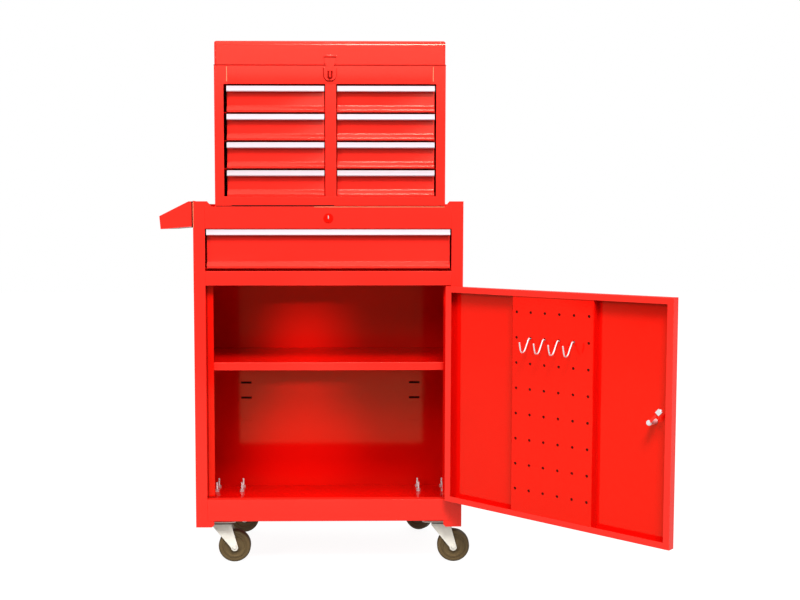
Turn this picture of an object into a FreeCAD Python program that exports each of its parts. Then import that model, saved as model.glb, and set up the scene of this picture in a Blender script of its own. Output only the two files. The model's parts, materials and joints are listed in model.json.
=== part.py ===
# Rolling tool cabinet: a steel cabinet on four swivel casters with one door, one wide drawer,
# a shelf and a side tray, and a lift-off tool chest with eight small drawers and a hinged lid.
# Millimetres. +X is the right side seen from the front, -Y is the front, +Z is up.
# The origin is on the floor, under the centre of the cabinet body.
import FreeCAD, Part
import math
import os
import Sketcher

V = FreeCAD.Vector
doc = FreeCAD.newDocument("RollingToolCabinet")
sizes = doc.addObject("Spreadsheet::Sheet", "Sizes")
levels = doc.addObject("Spreadsheet::Sheet", "Levels")

# Driving sizes of the real object
DRIVING = [
    # sheet steel, its outside bend radius and the clearance of parts that slide or turn past each other
    ("gauge", 1.0), ("bend", 1.6), ("slip", 0.3), ("pin_play", 0.05), ("hair", 0.001),
    # cabinet body
    ("cab_width", 560.0), ("cab_depth", 300.0), ("leg_clear", 84.0), ("leg_drop", 12.6),
    ("sill_height", 46.5), ("door_bay_height", 451.7), ("mid_rail_height", 29.8),
    ("drawer_bay_height", 87.9), ("top_rail_height", 45.6), ("ear_rise", 11.0), ("ear_slope", 9.0),
    ("post_width", 24.5), ("rebate_depth", 20.0), ("strike_width", 14.0), ("rail_return", 18.0),
    ("rear_flange", 20.0), ("leg_slope", 5.0), ("deck_flange", 12.0),
    # floor of the cabinet and the channels that carry the casters
    ("floor_lift", 4.4), ("channel_width", 76.0), ("channel_drop", 4.6), ("channel_inset", 3.0),
    # back panel slots and the hoods outside them
    ("slot_centre", 199.0), ("slot_length", 25.0), ("slot_height", 5.0),
    ("slot_top", 348.0), ("slot_mid", 312.0), ("slot_low", 260.0), ("hood_reach", 4.0), ("hood_rise", 3.0),
    # shelf and its clips
    ("shelf_height", 431.3), ("shelf_lip", 16.6), ("shelf_play", 1.0), ("clip_reach", 16.0),
    ("clip_height", 9.0), ("clip_width", 18.0), ("clip_inset", 34.0),
    # side tray
    ("tray_length", 250.0), ("tray_inset", 5.0), ("tray_reach", 70.0), ("tray_drop", 57.5),
    ("tray_rim", 27.0), ("tray_fall", 5.8), ("tray_flat", 9.5), ("tray_lean", 2.4), ("tray_hook", 8.0),
    # tool chest
    ("chest_margin", 83.0), ("chest_depth", 262.0), ("chest_setback", 6.0), ("chest_shift", 3.8),
    ("chest_foot", 21.0), ("row_pitch", 57.6), ("chest_rail", 38.5), ("stile_width", 19.3),
    ("stile_top_width", 29.0), ("centre_post", 23.0), ("post_shift", 1.4), ("post_return", 9.0),
    ("chest_rear_flange", 14.0), ("rim_fold", 7.0),
    # lid
    ("lid_height", 48.4), ("lid_gap", 1.0), ("lid_narrow", 1.5), ("lid_round", 4.5),
    # drawers
    ("drawer_post_gap", 1.9), ("drawer_outer_gap", 3.4), ("drawer_top_gap", 3.6), ("drawer_height", 53.4),
    ("drawer_side", 36.0),
    ("drawer_length", 232.0), ("face_recess", 9.0), ("kick_out", 5.0), ("kick_slope", 7.5),
    ("kick_lip", 4.5), ("box_inset", 6.0),
    ("wide_side_gap", 3.0), ("wide_top_gap", 1.3), ("wide_height", 80.8), ("wide_side", 62.0),
    ("wide_length", 262.0),
    # runners
    ("runner_leg", 9.0), ("runner_gauge", 1.2), ("runner_under", 6.0),
    # drawer pulls
    ("pull_height", 12.2), ("pull_reach", 12.0), ("pull_wall", 1.6), ("pull_hollow", 0.9),
    ("pull_edge", 1.6), ("pull_lip", 3.2), ("pull_leg", 9.0),
    # door
    ("door_play", 2.2), ("door_depth", 18.0), ("hinge_lip", 15.0), ("door_lip", 12.0),
    ("door_open_angle", 136.2), ("door_edge_round", 1.2),
    # peg panel and its hooks
    ("peg_panel_start", 166.2), ("peg_panel_width", 181.5), ("peg_panel_under", 0.3),
    ("peg_column_pitch", 32.2), ("peg_row_pitch", 50.0), ("peg_first_row", 56.6), ("peg_hole_radius", 2.4),
    ("hook_wire_radius", 1.8), ("hook_tail", 7.0),
    # how far out from the panel and how far below its hole each bend of a hook lies
    ("hook_shoulder_out", 8.0), ("hook_shoulder_drop", 3.5), ("hook_shank_out", 25.0),
    ("hook_shank_drop", 23.0), ("hook_belly_out", 31.0), ("hook_belly_drop", 26.0), ("hook_heel_out", 36.0),
    ("hook_heel_drop", 22.0), ("hook_tip_out", 42.0), ("hook_tip_drop", 6.5),
    # continuous hinges of the door and the lid
    ("hinge_barrel", 2.4), ("hinge_pin", 1.2), ("hinge_stand", 2.6), ("hinge_leaf", 0.8),
    ("hinge_leaf_width", 14.0), ("hinge_inset", 10.0), ("hinge_slit", 0.4), ("hinge_gap", 0.2),
    # locks
    ("lock_radius", 5.0), ("plug_radius", 3.5), ("lock_flange_radius", 8.5), ("lock_flange", 1.5),
    ("door_lock_place", 39.6), ("door_lock_height", 225.0), ("cam_gauge", 1.6), ("cam_reach", 28.0),
    ("cam_turn_angle", 48.0), ("cam_clear", 2.2), ("cam_arm_width", 5.0), ("cam_block", 9.0),
    ("cam_tongue", 6.5), ("cam_tongue_width", 4.0), ("drawer_lock_drop", 24.4), ("drawer_lock_depth", 14.0),
    ("drawer_cam_dip", 4.5), ("drawer_cam_block", 8.0), ("lock_notch", 11.0),
    ("key_slot_width", 1.1), ("key_slot_length", 4.6), ("key_slot_depth", 3.0),
    # hasp
    ("hasp_width", 26.0), ("hasp_gauge", 1.5), ("hasp_barrel", 3.0),
    ("hasp_knuckle", 7.0), ("hasp_axis_rise", 17.0), ("strap_width", 22.0), ("strap_neck", 16.0),
    ("strap_plate", 25.0), ("strap_plate_height", 26.4), ("strap_plate_drop", 6.0),
    ("strap_slot", 11.0), ("strap_slot_length", 16.0), ("strap_slot_drop", 6.0),
    ("staple_plate", 21.0), ("staple_plate_height", 23.0), ("staple_wire", 1.6),
    ("staple_reach", 10.0), ("staple_height", 12.0), ("staple_play", 1.2),
    # casters
    ("caster_side_inset", 45.5), ("caster_end_inset", 40.0), ("plate_width", 72.0), ("plate_depth", 56.0),
    ("plate_gauge", 2.5), ("plate_corner", 6.0), ("race_radius", 17.0), ("race_height", 3.5),
    ("king_radius", 4.0), ("king_head", 7.2), ("king_head_height", 2.0), ("trail", 32.0),
    ("wheel_radius", 34.3), ("wheel_width", 22.0), ("hub_width", 24.0), ("hub_radius", 10.0),
    ("axle_radius", 3.0), ("axle_head", 4.6), ("axle_head_height", 3.0),
    ("fork_gauge", 2.0), ("fork_front", 15.0), ("fork_back", 26.0), ("fork_shoulder", 6.0),
    ("fork_toe", 7.5), ("fork_toe_dip", 2.2),
]
# headings of the four casters in degrees, as they happen to stand, and counts of what repeats
HEADINGS = {"front_left": 2, "front_right": -4, "rear_left": 6, "rear_right": 143}
ROWS = 4
DOOR_KNUCKLES = 9
LID_KNUCKLES = 7
PEG_COLUMNS = 6
PEG_ROWS = 8
ROUND_HOLE = (0, 4)
HOOK_ROW = 6
HOOK_COLUMNS = (1, 2, 3, 4)
SMALL_SIDES = 8
MANY_SIDES = 24
HEX = 6
for row, (alias, value) in enumerate(DRIVING, start=1):
    sizes.set(f"A{row}", alias)
    sizes.set(f"B{row}", str(value))
    sizes.setAlias(f"B{row}", alias)
doc.recompute()

# Planes and heights that several pieces share, worked out from the driving sizes
SHARED = [
    ("side_x", "Sizes.cab_width / 2"),
    ("bay_x", "Sizes.cab_width / 2 - Sizes.post_width"),
    ("strike_x", "Sizes.cab_width / 2 - Sizes.post_width - Sizes.strike_width"),
    ("front_y", "-Sizes.cab_depth / 2"),
    ("back_y", "Sizes.cab_depth / 2"),
    ("panel_y", "Sizes.cab_depth / 2 - 2 * Sizes.gauge"),
    ("sill_lo", "Sizes.leg_clear + Sizes.leg_drop"),
    ("sill_hi", "sill_lo + Sizes.sill_height"),
    ("mid_lo", "sill_hi + Sizes.door_bay_height"),
    ("mid_hi", "mid_lo + Sizes.mid_rail_height"),
    ("top_lo", "mid_hi + Sizes.drawer_bay_height"),
    ("deck", "top_lo + Sizes.top_rail_height"),
    ("ear", "deck + Sizes.ear_rise"),
    ("floor_top", "sill_lo + Sizes.floor_lift"),
    ("caster_top", "sill_lo - Sizes.channel_drop"),
    ("crown", "caster_top - Sizes.plate_gauge - Sizes.race_height"),
    ("chest_front", "front_y + Sizes.chest_setback"),
    ("chest_back", "chest_front + Sizes.chest_depth"),
    ("chest_width", "Sizes.cab_width - Sizes.chest_margin"),
    ("chest_half", "chest_width / 2"),
    ("caster_x", "Sizes.cab_width / 2 - Sizes.caster_side_inset"),
    ("caster_y", "Sizes.cab_depth / 2 - Sizes.caster_end_inset"),
    ("cbay_lo", "deck + Sizes.chest_foot"),
    ("cbay_hi", f"cbay_lo + {ROWS} * Sizes.row_pitch"),
    ("rim", "cbay_hi + Sizes.chest_rail"),
    ("cbay_x", "chest_half - Sizes.stile_width"),
    ("post_mid", "Sizes.chest_shift + Sizes.post_shift"),
    ("post_left", "post_mid - Sizes.centre_post / 2"),
    ("post_right", "post_mid + Sizes.centre_post / 2"),
    ("column_width", "Sizes.chest_shift + cbay_x - post_right"),
    ("drawer_width", "column_width - Sizes.drawer_post_gap - Sizes.drawer_outer_gap"),
    ("pin_x", "bay_x - Sizes.hinge_leaf - Sizes.hinge_gap"),
    ("pin_y", "front_y - Sizes.hinge_stand"),
    ("door_start", "2 * Sizes.hinge_leaf + Sizes.hinge_gap"),
    ("door_end", "pin_x + bay_x - Sizes.door_play"),
    ("door_lo", "sill_hi + Sizes.door_play / 2"),
    ("door_hi", "mid_lo - Sizes.door_play / 2"),
]
for row, (alias, formula) in enumerate(SHARED, start=1):
    levels.set(f"A{row}", alias)
    levels.set(f"B{row}", "=" + formula)
    levels.setAlias(f"B{row}", alias)
doc.recompute()

S = "Sizes."
L = "Levels."
ROLES = {"XY": "XY_Plane", "XZ": "XZ_Plane", "YZ": "YZ_Plane"}
nodes = []


def val(expression):
    """Number that an expression gives with the sheets as they are."""
    return float(sizes.evalExpression(expression))


def keep(obj, node):
    """Name an object after its sub-part and list it for writing."""
    obj.Label = node
    nodes.append(obj)
    return obj


def bind(obj, **where):
    """Bind an object's placement to expressions: x, y, z and a turn in degrees about +Z."""
    for axis in ("x", "y", "z"):
        if axis in where:
            obj.setExpression(f"Placement.Base.{axis}", where[axis])
    if "turn" in where:
        obj.Placement.Rotation = FreeCAD.Rotation(V(0, 0, 1), 1.0)
        obj.setExpression("Placement.Rotation.Angle", where["turn"])
    return obj


def origin_plane(body, plane):
    """The body's own origin plane with the given role."""
    return [f for f in body.Origin.OriginFeatures if f.Role == ROLES[plane]][0]


def sketch(body, name, plane, points, arcs=None, offset=None):
    """Closed sketch through expression pairs; arcs maps a segment to its radius and bulge, left +1."""
    arcs = arcs or {}
    sk = body.newObject("Sketcher::SketchObject", name)
    sk.AttachmentSupport = [(origin_plane(body, plane), "")]
    sk.MapMode = "FlatFace"
    if offset:
        sk.setExpression("AttachmentOffset.Base.z", offset)
    flat = [V(val(a), val(b), 0) for a, b in points]
    count = len(flat)
    starts = [1] * count
    for i in range(count):
        a, b = flat[i], flat[(i + 1) % count]
        if i in arcs:
            radius, side = arcs[i]
            sk.addGeometry(arc_between(a, b, val(radius), side), False)
            starts[i] = 2 if side > 0 else 1
        else:
            sk.addGeometry(Part.LineSegment(a, b), False)
    for i in range(count):
        follower = (i + 1) % count
        sk.addConstraint(Sketcher.Constraint("Coincident", i, 3 - starts[i], follower, starts[follower]))
    for i, (ex, ey) in enumerate(points):
        for kind, formula, number in (("DistanceX", ex, flat[i].x), ("DistanceY", ey, flat[i].y)):
            k = sk.addConstraint(Sketcher.Constraint(kind, -1, 1, i, starts[i], number))
            sk.setExpression(f"Constraints[{k}]", formula)
    for i, (radius, side) in arcs.items():
        k = sk.addConstraint(Sketcher.Constraint("Radius", i, val(radius)))
        sk.setExpression(f"Constraints[{k}]", radius)
    return sk


def arc_between(a, b, radius, side):
    """Arc of a circle from a to b that bulges to the left (side +1) or right (side -1) of the way."""
    half = (b - a).Length / 2
    left = V(-(b - a).y, (b - a).x, 0).normalize()
    centre = (a + b) * 0.5 - left * side * math.sqrt(max(radius * radius - half * half, 0.0))
    first, last = (b, a) if side > 0 else (a, b)
    angles = [math.atan2(p.y - centre.y, p.x - centre.x) for p in (first, last)]
    if angles[1] < angles[0]:
        angles[1] += 2 * math.pi
    return Part.ArcOfCircle(Part.Circle(centre, V(0, 0, 1), radius), angles[0], angles[1])


def circles(body, name, plane, centres, radius, offset=None):
    """Sketch of equal circles at expression pairs."""
    sk = body.newObject("Sketcher::SketchObject", name)
    sk.AttachmentSupport = [(origin_plane(body, plane), "")]
    sk.MapMode = "FlatFace"
    if offset:
        sk.setExpression("AttachmentOffset.Base.z", offset)
    for i, (ex, ey) in enumerate(centres):
        sk.addGeometry(Part.Circle(V(val(ex), val(ey), 0), V(0, 0, 1), val(radius)), False)
        for kind, formula in (("DistanceX", ex), ("DistanceY", ey)):
            k = sk.addConstraint(Sketcher.Constraint(kind, -1, 1, i, 3, val(formula)))
            sk.setExpression(f"Constraints[{k}]", formula)
        k = sk.addConstraint(Sketcher.Constraint("Radius", i, val(radius)))
        sk.setExpression(f"Constraints[{k}]", radius)
    return sk


def pad(body, name, plane, points, length, start=None, arcs=None):
    """Pad a profile along the plane's normal, from start, by length."""
    profile = sketch(body, name + "_profile", plane, points, arcs, start)
    feature = body.newObject("PartDesign::Pad", name)
    feature.Profile = profile
    feature.setExpression("Length", length)
    doc.recompute()
    return feature


def pocket(body, name, profile, length=None):
    """Pocket a profile through everything both ways, or by a length against the plane's normal."""
    before = body.Shape.Volume
    feature = body.newObject("PartDesign::Pocket", name)
    feature.Profile = profile
    if length:
        feature.setExpression("Length", length)
    else:
        feature.Type = "ThroughAll"
        feature.Midplane = True
    doc.recompute()
    if body.Shape.Volume > before - 1e-6:
        raise RuntimeError(f"pocket {name} cuts nothing")
    return feature


def round_edges(body, name, feature, radius, test):
    """Fillet the edges of a feature that pass a test."""
    edges = [f"Edge{i + 1}" for i, e in enumerate(feature.Shape.Edges) if test(e)]
    fillet = body.newObject("PartDesign::Fillet", name)
    fillet.Base = (feature, edges)
    fillet.setExpression("Radius", radius)
    doc.recompute()
    return fillet


def along(edge, axis):
    """True if an edge is straight and runs along an axis, given as 0, 1 or 2."""
    if len(edge.Vertexes) < 2:
        return False
    way = edge.Vertexes[-1].Point - edge.Vertexes[0].Point
    return way.Length > 1e-6 and abs(abs(way[axis]) - edge.Length) < 1e-6


def passes(edge, axis, spots):
    """True if an edge along an axis goes through one of the spots of the other two axes."""
    if not along(edge, axis):
        return False
    here = [c for i, c in enumerate(edge.Vertexes[0].Point) if i != axis]
    return any(abs(here[0] - a) < 1e-4 and abs(here[1] - b) < 1e-4 for a, b in spots)


def box(name, low, size):
    """Box with its low corner and size given as expression triples."""
    obj = doc.addObject("Part::Box", name)
    for prop, formula in zip(("Length", "Width", "Height"), size):
        obj.setExpression(prop, formula)
    return bind(obj, x=low[0], y=low[1], z=low[2])


def cylinder(name, radius, height, low):
    """Upright cylinder with the centre of its base given as expressions."""
    obj = doc.addObject("Part::Cylinder", name)
    obj.setExpression("Radius", radius)
    obj.setExpression("Height", height)
    return bind(obj, x=low[0], y=low[1], z=low[2])


def prism(name, flat, height, low, sides=SMALL_SIDES):
    """Upright many-sided bar that stands in for a small round; flat is its radius across the flats."""
    obj = doc.addObject("Part::Prism", name)
    obj.Polygon = sides
    obj.setExpression("Circumradius", f"({flat}) / cos(180 / {sides})")
    obj.setExpression("Height", height)
    return bind(obj, x=low[0], y=low[1], z=low[2])


def fuse(name, parts):
    """Join of several solids."""
    obj = doc.addObject("Part::MultiFuse", name)
    obj.Shapes = parts
    return obj


def cut(name, base, tools):
    """Base with one or more solids taken away."""
    obj = doc.addObject("Part::Cut", name)
    obj.Base = base
    obj.Tool = tools[0] if len(tools) == 1 else fuse(name + "_tools", tools)
    return obj


def rounded(name, base, radius, test, kind="Part::Fillet"):
    """Solid with the edges that pass a test rounded, or chamfered where kind says so."""
    doc.recompute()
    obj = doc.addObject(kind, name)
    obj.Base = base
    r = val(radius)
    obj.Edges = [(i + 1, r, r) for i, e in enumerate(base.Shape.Edges) if test(e)]
    return obj


def body_of(node):
    """New body that is one sub-part."""
    return keep(doc.addObject("PartDesign::Body", node), node)


# Cabinet body


def cabinet_side(node, hand):
    """Folded side: front flange with the door rebate, wall, rear flange, ear above and leg below."""
    body = body_of(node)
    s = "" if hand > 0 else "-"
    side, bay, strike = f"{s}{L}side_x", f"{s}{L}bay_x", f"{s}{L}strike_x"
    g = f"{'-' if hand > 0 else '+'} {S}gauge"
    front, back = L + "front_y", L + "back_y"
    rear = f"{side} {'-' if hand > 0 else '+'} {S}rear_flange"
    wall = pad(body, node + "_wall", "XY", [
        (bay, front), (side, front), (side, back), (rear, back), (rear, f"{back} - {S}gauge"),
        (f"{side} {g}", f"{back} - {S}gauge"), (f"{side} {g}", f"{front} + {S}gauge"),
        (bay, f"{front} + {S}gauge")], f"{L}ear - {S}leg_clear", S + "leg_clear")
    outer = [(val(side), val(front)), (val(side), val(back))]
    round_edges(body, node + "_bends", wall, S + "bend", lambda e: passes(e, 2, outer))
    out = f"{bay} {'+' if hand > 0 else '-'} {S}gauge"
    pad(body, node + "_rebate", "XY", [
        (out, front), (bay, front), (bay, f"{front} + {S}rebate_depth"),
        (strike, f"{front} + {S}rebate_depth"), (strike, f"{front} + {S}rebate_depth + {S}gauge"),
        (out, f"{front} + {S}rebate_depth + {S}gauge")], L + "mid_lo - " + L + "sill_hi", L + "sill_hi")
    slope = f"{strike} {'+' if hand > 0 else '-'} {S}ear_slope"
    pad(body, node + "_ear", "XZ", [
        (out, L + "deck"), (strike, L + "deck"), (slope, L + "ear"), (out, L + "ear")],
        S + "gauge", f"-{front} - {S}gauge")
    foot = f"{strike} {'+' if hand > 0 else '-'} {S}leg_slope"
    pad(body, node + "_leg", "XZ", [
        (out, L + "sill_lo"), (strike, L + "sill_lo"), (strike, f"{S}leg_clear + {S}leg_slope"),
        (foot, S + "leg_clear"), (out, S + "leg_clear")], S + "gauge", f"-{front} - {S}gauge")
    clip_top = f"{S}shelf_height - {S}shelf_lip"
    inward = f"{side} {'-' if hand > 0 else '+'} {S}clip_reach"
    for i, start in enumerate((f"{front} + {S}rebate_depth + {S}clip_inset",
                               f"{back} - {S}clip_inset - {S}clip_width")):
        pad(body, f"{node}_clip_{i}", "XZ", [
            (side, f"{clip_top} - {S}gauge"), (inward, f"{clip_top} - {S}gauge"), (inward, clip_top),
            (side, clip_top)], S + "clip_width", f"-({start}) - {S}clip_width")
        window = sketch(body, f"{node}_lance_{i}_outline", "YZ", [
            (start, f"{clip_top} - {S}gauge - {S}clip_height"),
            (f"{start} + {S}clip_width", f"{clip_top} - {S}gauge - {S}clip_height"),
            (f"{start} + {S}clip_width", f"{clip_top} - {S}gauge"), (start, f"{clip_top} - {S}gauge")])
        pocket(body, f"{node}_lance_{i}", window)
    return body


def rail(node, low, high, returns):
    """Front rail: a face with flanges folded back along the edges named in returns."""
    body = body_of(node)
    front = L + "front_y"
    deep = f"{front} + {S}rail_return"
    inner = f"{front} + {S}gauge"
    points = [(front, low)]
    if "low" in returns:
        points += [(deep, low), (deep, f"{low} + {S}gauge"), (inner, f"{low} + {S}gauge")]
    else:
        points += [(inner, low)]
    if "high" in returns:
        points += [(inner, f"{high} - {S}gauge"), (deep, f"{high} - {S}gauge"), (deep, high)]
    else:
        points += [(inner, high)]
    points += [(front, high)]
    face = pad(body, node + "_face", "YZ", points, f"2 * {L}bay_x", f"-{L}bay_x")
    bends = []
    if "low" in returns:
        bends.append((val(front), val(low)))
    if "high" in returns:
        bends.append((val(front), val(high)))
    round_edges(body, node + "_bends", face, f"{S}bend / 2", lambda e: passes(e, 0, bends))
    return body


def make_cabinet():
    """Sides, rails, deck, back, floor and shelf; gives the inner face of the side walls."""
    cabinet_side("cabinet_side_left", -1)
    cabinet_side("cabinet_side_right", 1)
    top = rail("top_rail", L + "top_lo", f"{L}deck - {S}gauge", ("low",))
    bore = circles(top, "top_rail_lock_hole", "XZ", [("0", f"{L}deck - {S}drawer_lock_drop")],
                   f"{S}lock_radius + {S}pin_play")
    pocket(top, "top_rail_lock_bore", bore)
    swing = f"{S}top_rail_height + {S}wide_top_gap + {S}drawer_cam_dip - {S}drawer_lock_drop"
    notch = sketch(top, "top_rail_notch_outline", "XY", [
        (f"-{S}drawer_cam_block", f"{L}front_y + {S}lock_notch"), (swing, f"{L}front_y + {S}lock_notch"),
        (swing, f"{L}front_y + {S}rail_return"), (f"-{S}drawer_cam_block", f"{L}front_y + {S}rail_return")],
        offset=L + "top_lo + " + S + "gauge")
    pocket(top, "top_rail_notch", notch, S + "gauge")
    rail("mid_rail", L + "mid_lo", L + "mid_hi", ("low", "high"))
    rail("sill_rail", L + "sill_lo", L + "sill_hi", ("low", "high"))

    inner = f"{L}side_x - {S}gauge"
    wide = f"2 * ({inner})"
    deck = body_of("deck")
    pad(deck, "deck_sheet", "YZ", [
        (f"{L}front_y + {S}gauge", f"{L}deck - {S}deck_flange"), (f"{L}front_y + {S}gauge", L + "deck"),
        (L + "panel_y", L + "deck"), (L + "panel_y", f"{L}deck - {S}deck_flange"),
        (f"{L}panel_y - {S}gauge", f"{L}deck - {S}deck_flange"),
        (f"{L}panel_y - {S}gauge", f"{L}deck - {S}gauge"),
        (f"{L}front_y + 2 * {S}gauge", f"{L}deck - {S}gauge"),
        (f"{L}front_y + 2 * {S}gauge", f"{L}deck - {S}deck_flange")], wide, f"-({inner})")
    pad(deck, "deck_nose", "YZ", [
        (L + "front_y", f"{L}deck - {S}gauge"), (f"{L}front_y + 2 * {S}gauge", f"{L}deck - {S}gauge"),
        (f"{L}front_y + 2 * {S}gauge", L + "deck"), (L + "front_y", L + "deck")],
        f"2 * {L}bay_x", f"-{L}bay_x")

    back = body_of("cabinet_back")
    pad(back, "back_sheet", "XZ", [
        (f"-({inner})", L + "sill_lo"), (inner, L + "sill_lo"), (inner, L + "ear"),
        (f"-({inner})", L + "ear")],
        S + "gauge", f"-{L}panel_y - {S}gauge")
    for i, hand in enumerate(("-", "")):
        for k in ("top", "mid", "low"):
            mid = f"{hand}{S}slot_centre"
            low = f"{S}slot_{k} - {S}slot_height / 2"
            hole = sketch(back, f"slot_{i}_{k}_outline", "XZ", [
                (f"{mid} - {S}slot_length / 2", low), (f"{mid} + {S}slot_length / 2", low),
                (f"{mid} + {S}slot_length / 2", f"{low} + {S}slot_height"),
                (f"{mid} - {S}slot_length / 2", f"{low} + {S}slot_height")])
            pocket(back, f"slot_{i}_{k}", hole)
            sheet, crest = f"{L}panel_y + {S}gauge", f"{low} + {S}slot_height + {S}hood_rise"
            reach = f"{sheet} + {S}hood_reach"
            pad(back, f"hood_{i}_{k}", "YZ", [
                (sheet, crest), (reach, f"{low} + {S}slot_height"), (reach, low),
                (f"{reach} - {S}gauge", low),
                (f"{reach} - {S}gauge", f"{low} + {S}slot_height"), (sheet, f"{crest} - {S}gauge")],
                S + "slot_length", f"{mid} - {S}slot_length / 2")

    floor = body_of("cabinet_floor")
    pad(floor, "floor_sheet", "XY", [
        (f"-({inner})", f"{L}front_y + {S}gauge"), (inner, f"{L}front_y + {S}gauge"),
        (inner, L + "panel_y"), (f"-({inner})", L + "panel_y")], S + "gauge", f"{L}floor_top - {S}gauge")
    for i, hand in enumerate(("-", "")):
        low = f"{hand}{L}caster_x - {S}channel_width / 2"
        high = f"{hand}{L}caster_x + {S}channel_width / 2"
        start = f"{L}front_y + {S}rail_return + {S}channel_inset"
        pad(floor, f"floor_channel_{i}", "XY", [(low, start), (high, start), (high, L + "panel_y"),
            (low, L + "panel_y")], f"{L}floor_top - {S}gauge - {L}caster_top", L + "caster_top")

    reach = f"{inner} - {S}shelf_play"
    shelf_front = f"{L}front_y + {S}rebate_depth + {S}gauge + {S}shelf_play"
    shelf_back = f"{L}panel_y - {S}shelf_play"
    depth = f"{shelf_back} - ({shelf_front})"
    block = box("shelf_block", (f"-({reach})", shelf_front, f"{S}shelf_height - {S}shelf_lip"),
                (f"2 * ({reach})", depth, S + "shelf_lip"))
    front_y, top_z = val(shelf_front), val(S + "shelf_height")
    bent = rounded("shelf_bent", block, S + "bend", lambda e: passes(e, 0, [(front_y, top_z)]))
    hollow = box("shelf_hollow", (f"-({reach}) + {S}gauge", f"{shelf_front} + {S}gauge",
                                  f"{S}shelf_height - {S}shelf_lip"),
                 (f"2 * ({reach} - {S}gauge)", f"{depth} - 2 * {S}gauge", f"{S}shelf_lip - {S}gauge"))
    keep(cut("shelf", bent, [hollow]), "shelf")

    return inner


# Drawers


def drawer_box(node, centre, half, face, low, height, side, length):
    """Folded drawer: a face with an outward kick at its foot, a floor, two sides and a back."""
    body = body_of(node)
    g = S + "gauge"
    knee = f"{low} + {S}kick_lip"
    bend = f"{knee} + {S}kick_slope"
    out = f"{face} - {S}kick_out"
    top = f"{low} + {height}"
    pad(body, node + "_face", "YZ", [
        (out, low), (f"{face} + {length}", low), (f"{face} + {length}", f"{low} + {side}"),
        (f"{face} + {length} - {g}", f"{low} + {side}"), (f"{face} + {length} - {g}", f"{low} + {g}"),
        (f"{out} + {g}", f"{low} + {g}"), (f"{out} + {g}", knee), (f"{face} + {g}", bend),
        (f"{face} + {g}", top), (face, top), (face, bend), (out, knee)], f"2 * ({half} - {S}box_inset)",
        f"{centre} - ({half}) + {S}box_inset")
    for i, sign in enumerate(("-", "+")):
        edge = f"{centre} {sign} ({half} - {S}box_inset)"
        start = f"{edge}" if sign == "-" else f"{edge} - {g}"
        pad(body, f"{node}_side_{i}", "YZ", [
            (f"{face} + {g}", low), (f"{face} + {length}", low), (f"{face} + {length}", f"{low} + {side}"),
            (f"{face} + {g}", f"{low} + {side}")], g, start)
        tab = f"{centre} - ({half})" if sign == "-" else f"{centre} + {half} - {S}box_inset"
        pad(body, f"{node}_tab_{i}", "YZ", [
            (out, low), (f"{out} + {g}", low), (f"{out} + {g}", knee), (f"{face} + {g}", bend),
            (f"{face} + {g}", top), (face, top), (face, bend), (out, knee)], S + "box_inset", tab)
    return body


def pull(node, centre, half, face, top):
    """Extruded pull: a hollow-faced grip in front of the drawer's top edge, open below for the fingers."""
    body = body_of(node)
    w, front = S + "pull_wall", f"{face} - {S}pull_reach"
    foot = f"{top} - {S}pull_height"
    bow = f"(({S}pull_height - 2 * {S}pull_edge) / 2) ^ 2 / (2 * {S}pull_hollow) + {S}pull_hollow / 2"
    pad(body, node + "_section", "YZ", [
        (face, top), (front, top), (front, f"{top} - {S}pull_edge"), (front, f"{foot} + {S}pull_edge"),
        (front, foot), (f"{front} + {S}pull_lip", foot), (f"{front} + {S}pull_lip", f"{foot} + {w}"),
        (f"{front} + {w} + {S}pull_hollow", f"{foot} + {w}"),
        (f"{front} + {w} + {S}pull_hollow", f"{top} - {w}"),
        (f"{face} - {w}", f"{top} - {w}"), (f"{face} - {w}", f"{top} - {S}pull_leg"),
        (face, f"{top} - {S}pull_leg")], f"2 * ({half})", f"{centre} - ({half})", {2: (bow, 1)})
    return body


def column_centre(letter):
    """Middle of the drawers of one column, which stand close to the centre post."""
    away = f"({S}drawer_post_gap + {L}drawer_width / 2)"
    return f"{L}post_left - {away}" if letter == "left" else f"{L}post_right + {away}"


def make_drawers():
    """Eight small drawers and the wide one, with their pulls."""
    half = f"{L}drawer_width / 2"
    face = f"{L}chest_front + {S}face_recess"
    for letter in ("left", "right"):
        centre = column_centre(letter)
        for row in range(ROWS):
            top = f"{L}cbay_hi - {row} * {S}row_pitch - {S}drawer_top_gap"
            low = f"{top} - {S}drawer_height"
            name = f"drawer_{letter}_{row + 1}"
            drawer_box(name, centre, half, face, low, S + "drawer_height", S + "drawer_side",
                       S + "drawer_length")
            pull(f"{name}_pull", centre, half, face, top)
    wide_half = f"{L}bay_x - {S}wide_side_gap"
    wide_face = f"{L}front_y + {S}face_recess"
    wide_top = f"{L}top_lo - {S}wide_top_gap"
    drawer_box("wide_drawer", "0", wide_half, wide_face, f"{wide_top} - {S}wide_height", S + "wide_height",
               S + "wide_side", S + "wide_length")
    pull("wide_drawer_pull", "0", wide_half, wide_face, wide_top)


# Tool chest


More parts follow.
